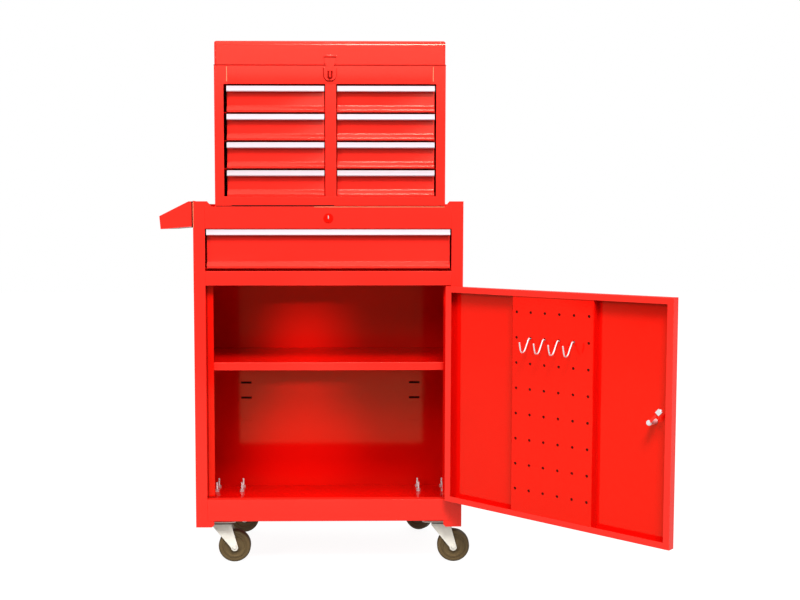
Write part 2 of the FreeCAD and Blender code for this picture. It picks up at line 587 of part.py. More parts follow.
def chest_side(node, hand):
    """Folded chest side: front stile, wall and rear flange."""
    body = body_of(node)
    sign, back_sign = ("+", "-") if hand > 0 else ("-", "+")
    wall = f"{S}chest_shift {sign} {L}chest_half"
    inner = f"{wall} {back_sign} {S}gauge"
    stile = f"{wall} {back_sign} {S}stile_width"
    head = f"{wall} {back_sign} {S}stile_top_width"
    rear = f"{wall} {back_sign} {S}chest_rear_flange"
    front, back = L + "chest_front", L + "chest_back"
    sheet = pad(body, node + "_wall", "XY", [
        (stile, front), (wall, front), (wall, back), (inner, back), (inner, f"{back} - {S}gauge"),
        (rear, f"{back} - {S}gauge"), (rear, f"{back} - 2 * {S}gauge"), (inner, f"{back} - 2 * {S}gauge"),
        (inner, f"{front} + {S}gauge"), (stile, f"{front} + {S}gauge")], f"{L}rim - {L}deck", L + "deck")
    corners = [(val(wall), val(front))]
    round_edges(body, node + "_bends", sheet, S + "bend", lambda e: passes(e, 2, corners))
    seat = sketch(body, node + "_seat_outline", "XY", [
        (inner, f"{back} - 2 * {S}gauge"), (rear, f"{back} - 2 * {S}gauge"), (rear, f"{back} - {S}gauge"),
        (inner, f"{back} - {S}gauge")], offset=f"{L}deck + {S}gauge")
    pocket(body, node + "_seat", seat, S + "gauge")
    pad(body, node + "_head", "XZ", [
        (stile, L + "cbay_hi"), (head, L + "cbay_hi"), (head, L + "rim"), (stile, L + "rim")],
        S + "gauge", f"-{front} - {S}gauge")
    return body


def make_chest():
    """Chest sides, till with the top rail, foot rail, centre partition, shell and runners."""
    chest_side("chest_side_left", -1)
    chest_side("chest_side_right", 1)
    g, mid = S + "gauge", S + "chest_shift"
    front, back = L + "chest_front", L + "chest_back"
    inner = f"({L}chest_half - {g})"
    tail = f"{back} - 2 * {g}"

    till = body_of("chest_till")
    head_half = f"({L}chest_half - {S}stile_top_width)"
    face = pad(till, "till_face", "YZ", [
        (front, L + "cbay_hi"), (f"{front} + {S}rim_fold", L + "cbay_hi"),
        (f"{front} + {S}rim_fold", f"{L}cbay_hi + {g}"), (f"{front} + {g}", f"{L}cbay_hi + {g}"),
        (f"{front} + {g}", f"{L}rim - {g}"), (f"{front} + {S}rim_fold", f"{L}rim - {g}"),
        (f"{front} + {S}rim_fold", L + "rim"), (front, L + "rim")],
        f"2 * {head_half}", f"{mid} - {head_half}")
    edges = [(val(front), val(L + "cbay_hi")), (val(front), val(L + "rim"))]
    round_edges(till, "till_bends", face, f"{S}bend / 2", lambda e: passes(e, 0, edges))
    pad(till, "till_floor", "YZ", [
        (f"{front} + {g}", L + "cbay_hi"), (tail, L + "cbay_hi"),
        (tail, f"{L}cbay_hi + {S}chest_rear_flange"),
        (f"{tail} - {g}", f"{L}cbay_hi + {S}chest_rear_flange"), (f"{tail} - {g}", f"{L}cbay_hi + {g}"),
        (f"{front} + {g}", f"{L}cbay_hi + {g}")], f"2 * {inner}", f"{mid} - {inner}")

    foot = body_of("chest_foot_rail")
    foot_face = pad(foot, "foot_face", "YZ", [
        (front, L + "deck"), (f"{front} + {g}", L + "deck"), (f"{front} + {g}", f"{L}cbay_lo - {g}"),
        (f"{front} + {S}post_return", f"{L}cbay_lo - {g}"), (f"{front} + {S}post_return", L + "cbay_lo"),
        (front, L + "cbay_lo")], f"2 * {L}cbay_x", f"{mid} - {L}cbay_x")
    lip = [(val(front), val(L + "cbay_lo"))]
    round_edges(foot, "foot_bend", foot_face, f"{S}bend / 2", lambda e: passes(e, 0, lip))

    post = body_of("chest_partition")
    web_left = f"{L}post_mid - {S}runner_gauge / 2"
    web_right = f"{L}post_mid + {S}runner_gauge / 2"
    left, right = L + "post_left", L + "post_right"
    ret = f"{front} + {S}post_return"
    pad(post, "partition_section", "XY", [
        (left, front), (right, front), (right, ret), (f"{right} - {g}", ret),
        (f"{right} - {g}", f"{front} + {g}"),
        (web_right, f"{front} + {g}"), (web_right, f"{back} - {g}"), (web_left, f"{back} - {g}"),
        (web_left, f"{front} + {g}"), (f"{left} + {g}", f"{front} + {g}"), (f"{left} + {g}", ret),
        (left, ret)],
        f"{L}cbay_hi - {L}cbay_lo", L + "cbay_lo")

    shell = body_of("chest_shell")
    pad(shell, "shell_sheet", "YZ", [
        (f"{front} + {g}", L + "deck"), (back, L + "deck"), (back, L + "rim"), (f"{back} - {g}", L + "rim"),
        (f"{back} - {g}", f"{L}deck + {g}"), (f"{front} + {g}", f"{L}deck + {g}")],
        f"2 * {inner}", f"{mid} - {inner}")

    start = f"{front} + {S}post_return + {S}slip"
    length = f"{tail} - {S}slip - ({start})"
    under = f"({L}drawer_width / 2 - {S}box_inset - {S}runner_under)"
    runners = []
    for row in range(ROWS):
        level = f"{L}cbay_hi - {row} * {S}row_pitch - {S}drawer_top_gap - {S}drawer_height - {S}slip"
        sides = (("left", f"{mid} - {inner}", web_left), ("right", web_right, f"{mid} + {inner}"))
        for letter, low, high in sides:
            centre = column_centre(letter)
            name = f"runner_{letter}_{row}"
            runners.append(runner(name + "_low", low, f"{centre} - {under}", "+", level, start, length))
            runners.append(runner(name + "_high", high, f"{centre} + {under}", "-", level, start, length))
    return runners


def runner(name, root, tip, lean, level, start, length):
    """Angle ledge from a wall or web at root to its tip under a drawer; lean is the way in from the wall."""
    body = doc.addObject("PartDesign::Body", name)
    pad(body, name + "_section", "XZ", [
        (root, f"{level} - {S}runner_gauge"), (tip, f"{level} - {S}runner_gauge"), (tip, level),
        (f"{root} {lean} {S}runner_gauge", level),
        (f"{root} {lean} {S}runner_gauge", f"{level} + {S}runner_leg"),
        (root, f"{level} + {S}runner_leg")], length, f"-({start}) - ({length})")
    return body


def group_of(name, parts):
    """Several like solids together."""
    obj = doc.addObject("Part::Compound", name)
    obj.Links = parts
    return obj


def group(node, parts):
    """Several like solids that make one sub-part."""
    return keep(group_of(node, parts), node)


def cabinet_runners(inner):
    """Ledges that carry the wide drawer."""
    level = f"{L}top_lo - {S}wide_top_gap - {S}wide_height - {S}slip"
    start = f"{L}front_y + {S}rail_return + {S}slip"
    length = f"{L}panel_y - {S}slip - ({start})"
    reach = f"({L}bay_x - {S}wide_side_gap - {S}box_inset - {S}runner_under)"
    return [runner("wide_runner_left", f"-({inner})", f"-{reach}", "+", level, start, length),
            runner("wide_runner_right", inner, reach, "-", level, start, length)]


# Lid and continuous hinges


def make_lid():
    """Lid: a deep pan with rounded top edges, open below."""
    half = f"({L}chest_half - {S}lid_narrow / 2)"
    low = f"{L}rim + {S}lid_gap"
    outer = box("lid_block", (f"{S}chest_shift - {half}", L + "chest_front", low),
                (f"2 * {half}", S + "chest_depth", S + "lid_height"))
    top = val(low) + val(S + "lid_height")
    soft = rounded("lid_soft", outer, S + "lid_round",
                   lambda e: along(e, 2) or all(abs(v.Point.z - top) < 1e-4 for v in e.Vertexes))
    inner = box("lid_hollow", (f"{S}chest_shift - {half} + {S}gauge", f"{L}chest_front + {S}gauge", low),
                (f"2 * {half} - 2 * {S}gauge", f"{S}chest_depth - 2 * {S}gauge", f"{S}lid_height - {S}gauge"))
    roof = top - val(S + "gauge")
    eased = rounded("lid_eased_hollow", inner, f"{S}lid_round - {S}bend",
                    lambda e: along(e, 2) or all(abs(v.Point.z - roof) < 1e-4 for v in e.Vertexes),
                    "Part::Chamfer")
    keep(cut("lid", soft, [eased]), "lid")


def leaf_with_knuckles(node, length, knuckles, moving, leaf, web):
    """Hinge leaf about local Z: a plate, every second knuckle with its web, and the pin or its bore."""
    pitch = f"(({length}) / {knuckles})"
    tall = f"{pitch} - {S}hinge_slit"
    parts = [box(node + "_plate", leaf[0], leaf[1])]
    for k in range(1 if moving else 0, knuckles, 2):
        low = f"{k} * {pitch} + {S}hinge_slit / 2"
        parts.append(prism(f"{node}_knuckle_{k}", S + "hinge_barrel", tall, ("0", "0", low)))
        parts.append(box(f"{node}_web_{k}", (*web[0], low), (*web[1], tall)))
    if moving:
        bore = prism(node + "_bore", f"{S}hinge_pin + {S}pin_play", length, ("0", "0", "0"))
        return cut(node, fuse(node + "_joined", parts), [bore])
    parts.append(prism(node + "_pin", f"{S}hinge_pin * cos(180 / {SMALL_SIDES})", length, ("0", "0", "0")))
    return fuse(node, parts)


def make_hinges():
    """Door hinge on the right jamb and lid hinge along the chest's back edge."""
    stand, width, thin = S + "hinge_stand", S + "hinge_leaf_width", S + "hinge_leaf"
    length = f"{L}door_hi - {L}door_lo - 2 * {S}hinge_inset"
    low = S + "hinge_gap"
    fixed = leaf_with_knuckles("door_hinge_fixed", length, DOOR_KNUCKLES, False,
                               ((low, stand, "0"), (thin, width, length)), ((low, "0"), (thin, stand)))
    bind(keep(fixed, "door_hinge_fixed"), x=L + "pin_x", y=L + "pin_y", z=f"{L}door_lo + {S}hinge_inset")
    low = f"{thin} + {S}hinge_gap"
    moving = leaf_with_knuckles("door_hinge_moving", length, DOOR_KNUCKLES, True,
                                ((low, f"-{stand} - {width}", "0"), (thin, width, length)),
                                ((low, f"-{stand}"), (thin, stand)))
    bind(keep(moving, "door_hinge_moving"), x=L + "pin_x", y=L + "pin_y", z=f"{L}door_lo + {S}hinge_inset",
         turn=f"{S}door_open_angle + 180")

    length = f"{L}chest_width - 6 * {S}hinge_inset"
    clear = f"({S}hinge_barrel + {S}slip)"
    for node, moves in (("lid_hinge_fixed", False), ("lid_hinge_moving", True)):
        plate = f"-{clear} - {width}" if moves else clear
        web = f"-{clear}" if moves else "0"
        leaf = leaf_with_knuckles(node, length, LID_KNUCKLES, moves,
                                  ((plate, f"-{stand}", "0"), (width, thin, length)),
                                  ((web, f"-{stand}"), (clear, thin)))
        keep(leaf, node).Placement.Rotation = FreeCAD.Rotation(V(0, 1, 0), 90)
        bind(leaf, x=f"{S}chest_shift - ({length}) / 2", y=f"{L}chest_back + {stand}",
             z=f"{L}rim + {S}lid_gap / 2")


# Door. Local X runs from the hinge pin to the free edge, local -Y is the inside face.


def hang(obj):
    """Hang a door piece on the hinge pin, turned to the angle at which the door stands open."""
    return bind(obj, x=L + "pin_x", y=L + "pin_y", turn=f"{S}door_open_angle + 180")


def make_door():
    """Door pan with folded lips, peg panel with its hooks."""
    start, end = L + "door_start", L + "door_end"
    low, high = L + "door_lo", L + "door_hi"
    face = f"-{S}hinge_stand"
    inside = f"{face} - {S}door_depth"
    g = S + "gauge"
    block = box("door_block", (start, inside, low), (f"{end} - {start}", S + "door_depth", f"{high} - {low}"))
    outer_y = val(face)
    soft = rounded("door_soft", block, S + "door_edge_round",
                   lambda e: all(abs(v.Point.y - outer_y) < 1e-4 for v in e.Vertexes))
    hollow = box("door_hollow", (f"{start} + {g}", f"{inside} + {g}", f"{low} + {g}"),
                 (f"{end} - {start} - 2 * {g}", f"{S}door_depth - 2 * {g}", f"{high} - {low} - 2 * {g}"))
    window = box("door_window", (f"{start} + {S}hinge_lip", inside, f"{low} + {S}door_lip"),
                 (f"{end} - {start} - {S}hinge_lip - {S}door_lip", g, f"{high} - {low} - 2 * {S}door_lip"))
    lock_x = f"{end} - {S}door_lock_place"
    bore = doc.addObject("Part::Cylinder", "door_lock_hole")
    bore.setExpression("Radius", f"{S}lock_radius + {S}pin_play")
    bore.setExpression("Height", "3 * " + g)
    bore.Placement.Rotation = FreeCAD.Rotation(V(1, 0, 0), 90)
    bind(bore, x=lock_x, y=f"{face} + {g}", z=f"{low} + {S}door_lock_height")
    hang(keep(cut("door_pan", soft, [hollow, window, bore]), "door_pan"))

    panel = doc.addObject("PartDesign::Body", "peg_sheet")
    left = f"{start} + {S}peg_panel_start"
    right = f"{left} + {S}peg_panel_width"
    skin = f"{inside} + {g} + {S}peg_panel_under"
    seat = f"{face} - {g}"
    sheet = pad(panel, "peg_section", "XY", [
        (left, seat), (left, skin), (right, skin), (right, seat), (f"{right} - {g}", seat),
        (f"{right} - {g}", f"{skin} + {g}"), (f"{left} + {g}", f"{skin} + {g}"), (f"{left} + {g}", seat)],
        f"{high} - {low} - 2 * ({g} + {S}slip)", f"{low} + {g} + {S}slip")
    bends = [(val(left), val(skin)), (val(right), val(skin))]
    round_edges(panel, "peg_bends", sheet, S + "bend", lambda e: passes(e, 2, bends))
    margin = f"({S}peg_panel_width - {PEG_COLUMNS - 1} * {S}peg_column_pitch) / 2"
    columns = [f"{left} + {margin} + {c} * {S}peg_column_pitch" for c in range(PEG_COLUMNS)]
    rows = [f"{low} + {S}peg_first_row + {r} * {S}peg_row_pitch" for r in range(PEG_ROWS)]
    holes = [peg_hole(f"peg_hole_{c}_{r}", columns[c], f"{skin} + 2 * {g}", rows[r], (c, r) == ROUND_HOLE)
             for c in range(PEG_COLUMNS) for r in range(PEG_ROWS)]
    hang(keep(cut("peg_panel", panel, [group_of("peg_holes", holes)]), "peg_panel"))

    hooks = []
    for c in HOOK_COLUMNS:
        hook = doc.addObject("Part::Feature", f"hook_{c}")
        hook.Shape = hook_shape(val(columns[c]), val(skin), val(rows[HOOK_ROW]))
        hooks.append(hook)
    hang(group("peg_hooks", hooks))
    return lock_x, face


def peg_hole(name, x, y, z, round_one):
    """Tool that bores one hole of the panel; the many others have few sides round the same radius."""
    length = f"3 * {S}gauge"
    start = ("0", "0", "0")
    if round_one:
        hole = cylinder(name, S + "peg_hole_radius", length, start)
    else:
        hole = prism(name, S + "peg_hole_radius", length, start, HEX)
    hole.Placement.Rotation = FreeCAD.Rotation(V(1, 0, 0), 90)
    return bind(hole, x=x, y=y, z=z)


def hook_shape(x, skin, z):
    """Bent wire hook: a tail behind the panel, a slanting shank, a bottom of short bends and a raised tip."""
    radius = val(S + "hook_wire_radius")
    base = z - val(S + "peg_hole_radius") + radius + val(S + "slip") / 2
    behind = skin + val(S + "gauge") + radius + val(S + "slip")
    route = [V(x, behind, base + val(S + "hook_tail")), V(x, behind, base), V(x, skin - radius, base)]
    for bend in ("shoulder", "shank", "belly", "heel", "tip"):
        route.append(V(x, skin - val(f"{S}hook_{bend}_out"), base - val(f"{S}hook_{bend}_drop")))
    turns = [2 * math.pi * i / SMALL_SIDES for i in range(SMALL_SIDES + 1)]
    ring = Part.makePolygon([route[0] + V(math.cos(a), math.sin(a), 0) * radius for a in turns])
    wire = Part.BRepOffsetAPI.MakePipeShell(Part.makePolygon(route))
    wire.setTransitionMode(1)
    wire.add(ring)
    wire.build()
    wire.makeSolid()
    return wire.shape()


# Locks


def lock_barrel(node, length):
    """Lock barrel about local Z: a flange outside, a tube inside, bored for the plug."""
    low = f"-{S}lock_flange"
    rim = prism(node + "_rim", S + "lock_flange_radius", S + "lock_flange", ("0", "0", low), MANY_SIDES)
    tube = prism(node + "_tube", S + "lock_radius", length, ("0", "0", "0"), MANY_SIDES)
    bore = prism(node + "_bore", f"{S}plug_radius + {S}pin_play", f"{length} + {S}lock_flange",
                 ("0", "0", low), MANY_SIDES)
    return cut(node, fuse(node + "_joined", [rim, tube]), [bore])


def lock_plug(node, length, turn, reach, block, tongue):
    """Plug with a key slot at its outer end and a cam at its inner end, turned about local Z."""
    gauge, double = S + "cam_gauge", f"2 * {S}cam_gauge"
    plug = cylinder(node + "_rod", S + "plug_radius", f"{length} + {S}lock_flange + {S}slip",
                    ("0", "0", f"-{S}lock_flange"))
    slot = box(node + "_slot", (f"-{S}key_slot_width / 2", f"-{S}key_slot_length / 2", f"-{S}lock_flange"),
               (S + "key_slot_width", S + "key_slot_length", S + "key_slot_depth"))
    cored = cut(node + "_cored", plug, [slot])
    seat = f"{length} + {S}slip"
    parts = [
        prism(node + "_hub", S + "lock_radius", gauge, ("0", "0", seat), MANY_SIDES),
        box(node + "_arm", (f"-{S}cam_arm_width / 2", "0", seat), (S + "cam_arm_width", reach, gauge)),
        box(node + "_tip", (f"-{block} / 2", f"{reach} - {block} / 2", seat), (block, block, double))]
    if tongue:
        parts.append(box(node + "_tongue", (f"-{S}cam_tongue_width / 2", reach, seat),
                         (S + "cam_tongue_width", tongue, gauge)))
    nut = prism(node + "_nut", S + "plug_radius", double, ("0", "0", f"{seat} + {gauge} / 2"), HEX)
    cam = fuse(node + "_cam", parts)
    bind(cam, turn=turn)
    return fuse(node, [cored, cam, nut])


def make_locks(lock_x, face):
    """Door lock with its cam and the wide drawer's lock."""
    deep = f"{S}rebate_depth + {S}gauge + {S}cam_clear"
    at = dict(x=lock_x, y=face, z=f"{L}door_lo + {S}door_lock_height")
    barrel = keep(lock_barrel("door_lock_barrel", deep), "door_lock_barrel")
    plug = keep(lock_plug("door_lock_cam", deep, f"270 + {S}cam_turn_angle", S + "cam_reach", S + "cam_block",
                          S + "cam_tongue"), "door_lock_cam")
    for obj in (barrel, plug):
        door_spot(obj, at)
    depth = S + "drawer_lock_depth"
    dip = f"({L}top_lo - {S}wide_top_gap - {S}drawer_cam_dip)"
    reach = f"{L}deck - {S}drawer_lock_drop - {dip} - {S}drawer_cam_block / 2"
    drawer_lock = [keep(lock_barrel("drawer_lock_barrel", depth), "drawer_lock_barrel"),
                   keep(lock_plug("drawer_lock_plug", depth, "270", reach, S + "drawer_cam_block", None),
                        "drawer_lock_plug")]
    for obj in drawer_lock:
        obj.Placement.Rotation = FreeCAD.Rotation(V(1, 0, 0), -90)
        bind(obj, x="0", y=L + "front_y", z=f"{L}deck - {S}drawer_lock_drop")


def door_spot(obj, at):
    """Place a lock piece, built about local Z, into the open door."""
    turn = FreeCAD.Rotation(V(0, 0, 1), val(f"{S}door_open_angle + 180"))
    obj.Placement.Rotation = turn.multiply(FreeCAD.Rotation(V(1, 0, 0), 90))
    c, s = f"cos({S}door_open_angle + 180)", f"sin({S}door_open_angle + 180)"
    bind(obj, x=f"{L}pin_x + ({at['x']}) * {c} - ({at['y']}) * {s}",
         y=f"{L}pin_y + ({at['x']}) * {s} + ({at['y']}) * {c}", z=at["z"])


# Hasp


def make_hasp():
    """Hasp: a leaf on the lid, a strap that swings on it, and a staple plate on the chest."""
    mid, face, g = S + "chest_shift", L + "chest_front", S + "hasp_gauge"
    rim_z = L + "rim"
    axis_z = f"{rim_z} + {S}lid_gap + {S}hasp_axis_rise"
    axis_y = f"{face} - {S}hasp_barrel - {S}slip"
    half = f"{S}hasp_width / 2"
    low = f"{rim_z} + {S}lid_gap + 2 * {g}"

    leaf = box("hasp_leaf_plate", (f"{mid} - {half}", f"{face} - {g}", low),
               (S + "hasp_width", g, f"{axis_z} + {S}hasp_barrel - ({low})"))
    ends = []
    for i, x in enumerate((f"{mid} - {half}", f"{mid} + {half} - {S}hasp_knuckle")):
        ends.append(lying(f"hasp_end_{i}", S + "hasp_barrel", S + "hasp_knuckle", x, axis_y, axis_z))
    gap = box("hasp_leaf_gap", (f"{mid} - {half} + {S}hasp_knuckle", f"{face} - 3 * {S}hasp_barrel", low),
              (f"{S}hasp_width - 2 * {S}hasp_knuckle", f"3 * {S}hasp_barrel",
               f"{axis_z} + {S}hasp_barrel - ({low})"))
    pin = lying("hasp_pin", S + "hinge_pin", S + "hasp_width", f"{mid} - {half}", axis_y, axis_z)
    notched = cut("hasp_leaf_cut", fuse("hasp_leaf_joined", [leaf] + ends), [gap])
    keep(fuse("hasp_leaf", [notched, pin]), "hasp_leaf")

    strap = body_of("hasp_strap")
    back = f"{face} - {g} - {S}slip"
    tuck = f"{half} - {S}hasp_knuckle - {S}slip"
    shoulder = f"{axis_z} - {S}hasp_barrel - {S}slip"
    wide, thin = f"{S}strap_width / 2", f"{S}strap_neck / 2"
    top = f"{rim_z} - {S}strap_plate_drop"
    r = f"{S}strap_plate / 2"
    turn = f"{top} - {S}strap_plate_height + {r}"
    mouth = f"({S}staple_wire + {S}staple_play)"
    foot = f"{turn} - sqrt(({r}) ^ 2 - {mouth} ^ 2)"
    slot_top = f"{top} - {S}strap_slot_drop"
    slot_low = f"{slot_top} - {S}strap_slot_length"
    slot = f"{S}strap_slot / 2"
    outline = [(tuck, axis_z), (tuck, shoulder), (wide, shoulder), (wide, f"{rim_z} + {S}lid_gap + 2 * {g}"),
               (thin, f"{rim_z} - {g}"), (thin, top), (r, top), (r, turn), (mouth, foot), (mouth, slot_low),
               (slot, slot_low), (slot, slot_top)]
    left = [(f"{mid} - ({x})", z) for x, z in outline]
    right = [(f"{mid} + {x}", z) for x, z in reversed(outline)]
    bulge = f"{r} + {S}hair"
    pad(strap, "strap_sheet", "XZ", left + right, g, f"-({back})", {7: (bulge, -1), 15: (bulge, -1)})
    ring = circles(strap, "strap_roll_outline", "YZ", [(axis_y, axis_z)], S + "hasp_barrel",
                   f"{mid} - ({tuck})")
    roll = strap.newObject("PartDesign::Pad", "strap_roll")
    roll.Profile = ring
    roll.setExpression("Length", f"2 * ({tuck})")
    doc.recompute()
    eye = circles(strap, "strap_eye_outline", "YZ", [(axis_y, axis_z)], f"{S}hinge_pin + {S}pin_play")
    pocket(strap, "strap_eye", eye)

    plate = body_of("hasp_staple")
    side = f"{S}staple_plate / 2"
    middle = f"{slot_top} - {S}strap_slot_length / 2"
    high = f"{middle} + {S}staple_plate_height / 2"
    bottom = f"{middle} - {S}staple_plate_height / 2 + {side}"
    pad(plate, "staple_plate_sheet", "XZ", [
        (f"{mid} - {side}", high), (f"{mid} - {side}", bottom), (f"{mid} + {side}", bottom),
        (f"{mid} + {side}", high)], g, f"-({face})", {1: (f"{side} + {S}hair", -1)})
    w = f"2 * {S}staple_wire"
    eye_top = f"{middle} + {S}staple_height / 2"
    eye_low = f"{middle} - {S}staple_height / 2"
    out = f"{face} - {g} - {S}staple_reach"
    pad(plate, "staple_loop", "YZ", [
        (f"{face} - {g}", eye_top), (out, eye_top), (out, eye_low), (f"{face} - {g}", eye_low),
        (f"{face} - {g}", f"{eye_low} + {w}"), (f"{out} + {w}", f"{eye_low} + {w}"),
        (f"{out} + {w}", f"{eye_top} - {w}"), (f"{face} - {g}", f"{eye_top} - {w}")],
        w, f"{mid} - {S}staple_wire")


def lying(name, radius, length, x, y, z):
    """Cylinder along X from x by length."""
    obj = doc.addObject("Part::Cylinder", name)
    obj.setExpression("Radius", radius)
    obj.setExpression("Height", length)
    obj.Placement.Rotation = FreeCAD.Rotation(V(0, 1, 0), 90)
    return bind(obj, x=x, y=y, z=z)


# Side tray


def make_tray():
    """Tray hooked over the left side: back, sloping floor, outer rim and two end plates."""
    body = body_of("side_tray")
    g = S + "gauge"
    wall = f"-{L}side_x"
    top = L + "ear"
    low = f"{top} - {S}tray_drop"
    out = f"{wall} - {S}tray_reach"
    heel = f"{low} + {S}tray_fall"
    lean = f"{out} + {S}tray_lean"
    rim = f"{low} + {S}tray_rim"
    inside = f"{wall} + {g} + {S}slip"
    start = f"{L}front_y + {S}tray_inset"
    pad(body, "tray_section", "XZ", [
        (f"{wall} - {g}", f"{top} + {g}"), (f"{inside} + {g}", f"{top} + {g}"),
        (f"{inside} + {g}", f"{top} - {S}tray_hook"), (inside, f"{top} - {S}tray_hook"), (inside, top),
        (wall, top), (wall, heel), (lean, low), (out, rim), (f"{out} + {g}", rim),
        (f"{lean} + {g}", f"{low} + {g}"), (f"{wall} - {g}", f"{heel} + {g}")],
        S + "tray_length", f"-({start}) - {S}tray_length")
    for i, y in enumerate((f"{start}", f"{start} + {S}tray_length - {g}")):
        pad(body, f"tray_end_{i}", "XZ", [
            (f"{wall} - {g} / 2", top), (f"{wall} - {S}tray_flat", top), (out, rim), (lean, low),
            (f"{wall} - {g} / 2", heel)], g, f"-({y}) - {g}")


# Casters


def make_casters():
    """Four swivel casters: fixed plates, forks with their axles, and wheels."""
    plates = []
    under = f"{L}crown - {S}fork_gauge - {S}slip - {S}king_head_height"
    for name, heading in HEADINGS.items():
        x = ("-" if "left" in name else "") + L + "caster_x"
        y = ("-" if "front" in name else "") + L + "caster_y"
        plate = box(f"plate_{name}", (f"{x} - {S}plate_width / 2", f"{y} - {S}plate_depth / 2",
                                      f"{L}caster_top - {S}plate_gauge"),
                    (S + "plate_width", S + "plate_depth", S + "plate_gauge"))
        soft = rounded(f"plate_soft_{name}", plate, S + "plate_corner", lambda e: along(e, 2),
                       "Part::Chamfer")
        race = prism(f"race_{name}", S + "race_radius", f"{S}race_height - {S}slip",
                     (x, y, f"{L}crown + {S}slip"), MANY_SIDES)
        king = cylinder(f"king_{name}", S + "king_radius", f"{L}crown + {S}race_height - ({under})",
                        (x, y, under))
        head = prism(f"head_{name}", f"{S}king_head * cos(30)", S + "king_head_height", (x, y, under), HEX)
        plates.append(fuse(f"caster_plate_{name}", [soft, race, king, head]))
        make_fork(name, x, y, heading)
        make_wheel(name, x, y, heading)
    group("caster_plates", plates)


def make_fork(name, x, y, heading):
    """Pressed fork about local Z: crown, two tapering legs and the axle bolt; it trails along local X."""
    body = doc.addObject("PartDesign::Body", f"fork_body_{name}")
    inner = f"({S}hub_width / 2 + {S}slip)"
    outer = f"({inner} + {S}fork_gauge)"
    top = L + "crown"
    axle_z = S + "wheel_radius"
    toe = S + "fork_toe"
    shoulder, tip = f"{top} - {S}fork_shoulder", f"{axle_z} - {S}fork_toe_dip"
    legs = pad(body, f"fork_side_{name}", "XZ", [
        (f"-{S}fork_front", top), (f"-{S}fork_front", shoulder), (f"{S}trail - {toe}", tip),
        (f"{S}trail + {toe}", tip), (S + "fork_back", shoulder), (S + "fork_back", top)],
        f"2 * {outer}", f"-{outer}", {2: (f"{toe} + {S}hair", -1)})
    round_edges(body, f"fork_shoulder_{name}", legs, S + "bend", lambda e: along(e, 0))
    gap = sketch(body, f"fork_gap_{name}", "YZ", [
        (f"-{inner}", "0"), (inner, "0"), (inner, f"{top} - {S}fork_gauge"),
        (f"-{inner}", f"{top} - {S}fork_gauge")])
    pocket(body, f"fork_gap_cut_{name}", gap)
    eye = prism(f"fork_eye_{name}", f"{S}king_radius + {S}pin_play", f"2 * {S}fork_gauge",
                ("0", "0", f"{top} - 1.5 * {S}fork_gauge"))
    pierced = cut(f"fork_pierced_{name}", body, [eye])
    flats, thick = f"{S}axle_head * cos(30)", S + "axle_head_height"
    bolt = [across(prism(f"axle_{name}", f"{S}axle_radius * cos(180 / {SMALL_SIDES})", f"2 * {outer}",
                         ("0", "0", "0")), outer, axle_z),
            across(prism(f"axle_head_{name}", flats, thick, ("0", "0", "0"), HEX), f"{outer} + {thick}", axle_z),
            across(prism(f"axle_nut_{name}", flats, thick, ("0", "0", "0"), HEX), f"-{outer}", axle_z)]
    fork = keep(fuse(f"caster_{name}_fork", [pierced] + bolt), f"caster_{name}_fork")
    bind(fork, x=x, y=y, turn=str(heading))


def across(obj, start, z):
    """Lay an upright bar along local -Y from start, at the trail distance."""
    obj.Placement.Rotation = FreeCAD.Rotation(V(1, 0, 0), 90)
    return bind(obj, x=S + "trail", y=start, z=z)


def make_wheel(name, x, y, heading):
    """Wheel turned about its axle, with a hub that stands proud of the tread's sides."""
    body = body_of(f"caster_{name}_wheel")
    r, half = S + "wheel_radius", f"({S}wheel_width / 2)"
    hub, hub_r = f"({S}hub_width / 2)", S + "hub_radius"
    bore = f"{S}axle_radius + {S}pin_play"
    profile = sketch(body, f"wheel_section_{name}", "YZ", [
        (f"-{hub}", bore), (f"-{hub}", hub_r), (f"-{half}", hub_r), (f"-{half}", r), (half, r), (half, hub_r),
        (hub, hub_r), (hub, bore)])
    turned = body.newObject("PartDesign::Revolution", f"wheel_turned_{name}")
    turned.Profile = profile
    turned.ReferenceAxis = (profile, ["H_Axis"])
    turned.Angle = 360
    doc.recompute()
    bind(body, x=f"{x} + {S}trail * cos({heading})", y=f"{y} + {S}trail * sin({heading})", z=r,
         turn=str(heading))


def write_parts():
    """Check every object, then write each sub-part."""
    doc.recompute()
    for obj in doc.Objects:
        if "Invalid" in obj.State or "Error" in obj.State:
            raise RuntimeError(f"{obj.Name} is in state {obj.State}")
    os.makedirs("parts", exist_ok=True)
    for obj in nodes:
        shape = obj.Shape
        if shape.isNull() or not shape.isValid() or not shape.Solids:
            raise RuntimeError(f"{obj.Label} has no valid solid")
        shape.exportStep(os.path.join("parts", obj.Label + ".step"))
    print(len(nodes), "sub-parts written")


group("wide_drawer_runners", cabinet_runners(make_cabinet()))
group("chest_runners", make_chest())
make_drawers()
make_lid()
make_hinges()
make_locks(*make_door())
make_hasp()
make_tray()
make_casters()
write_parts()
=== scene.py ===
import json
import math
from itertools import product

import bmesh
import bpy
from mathutils import Matrix, Vector


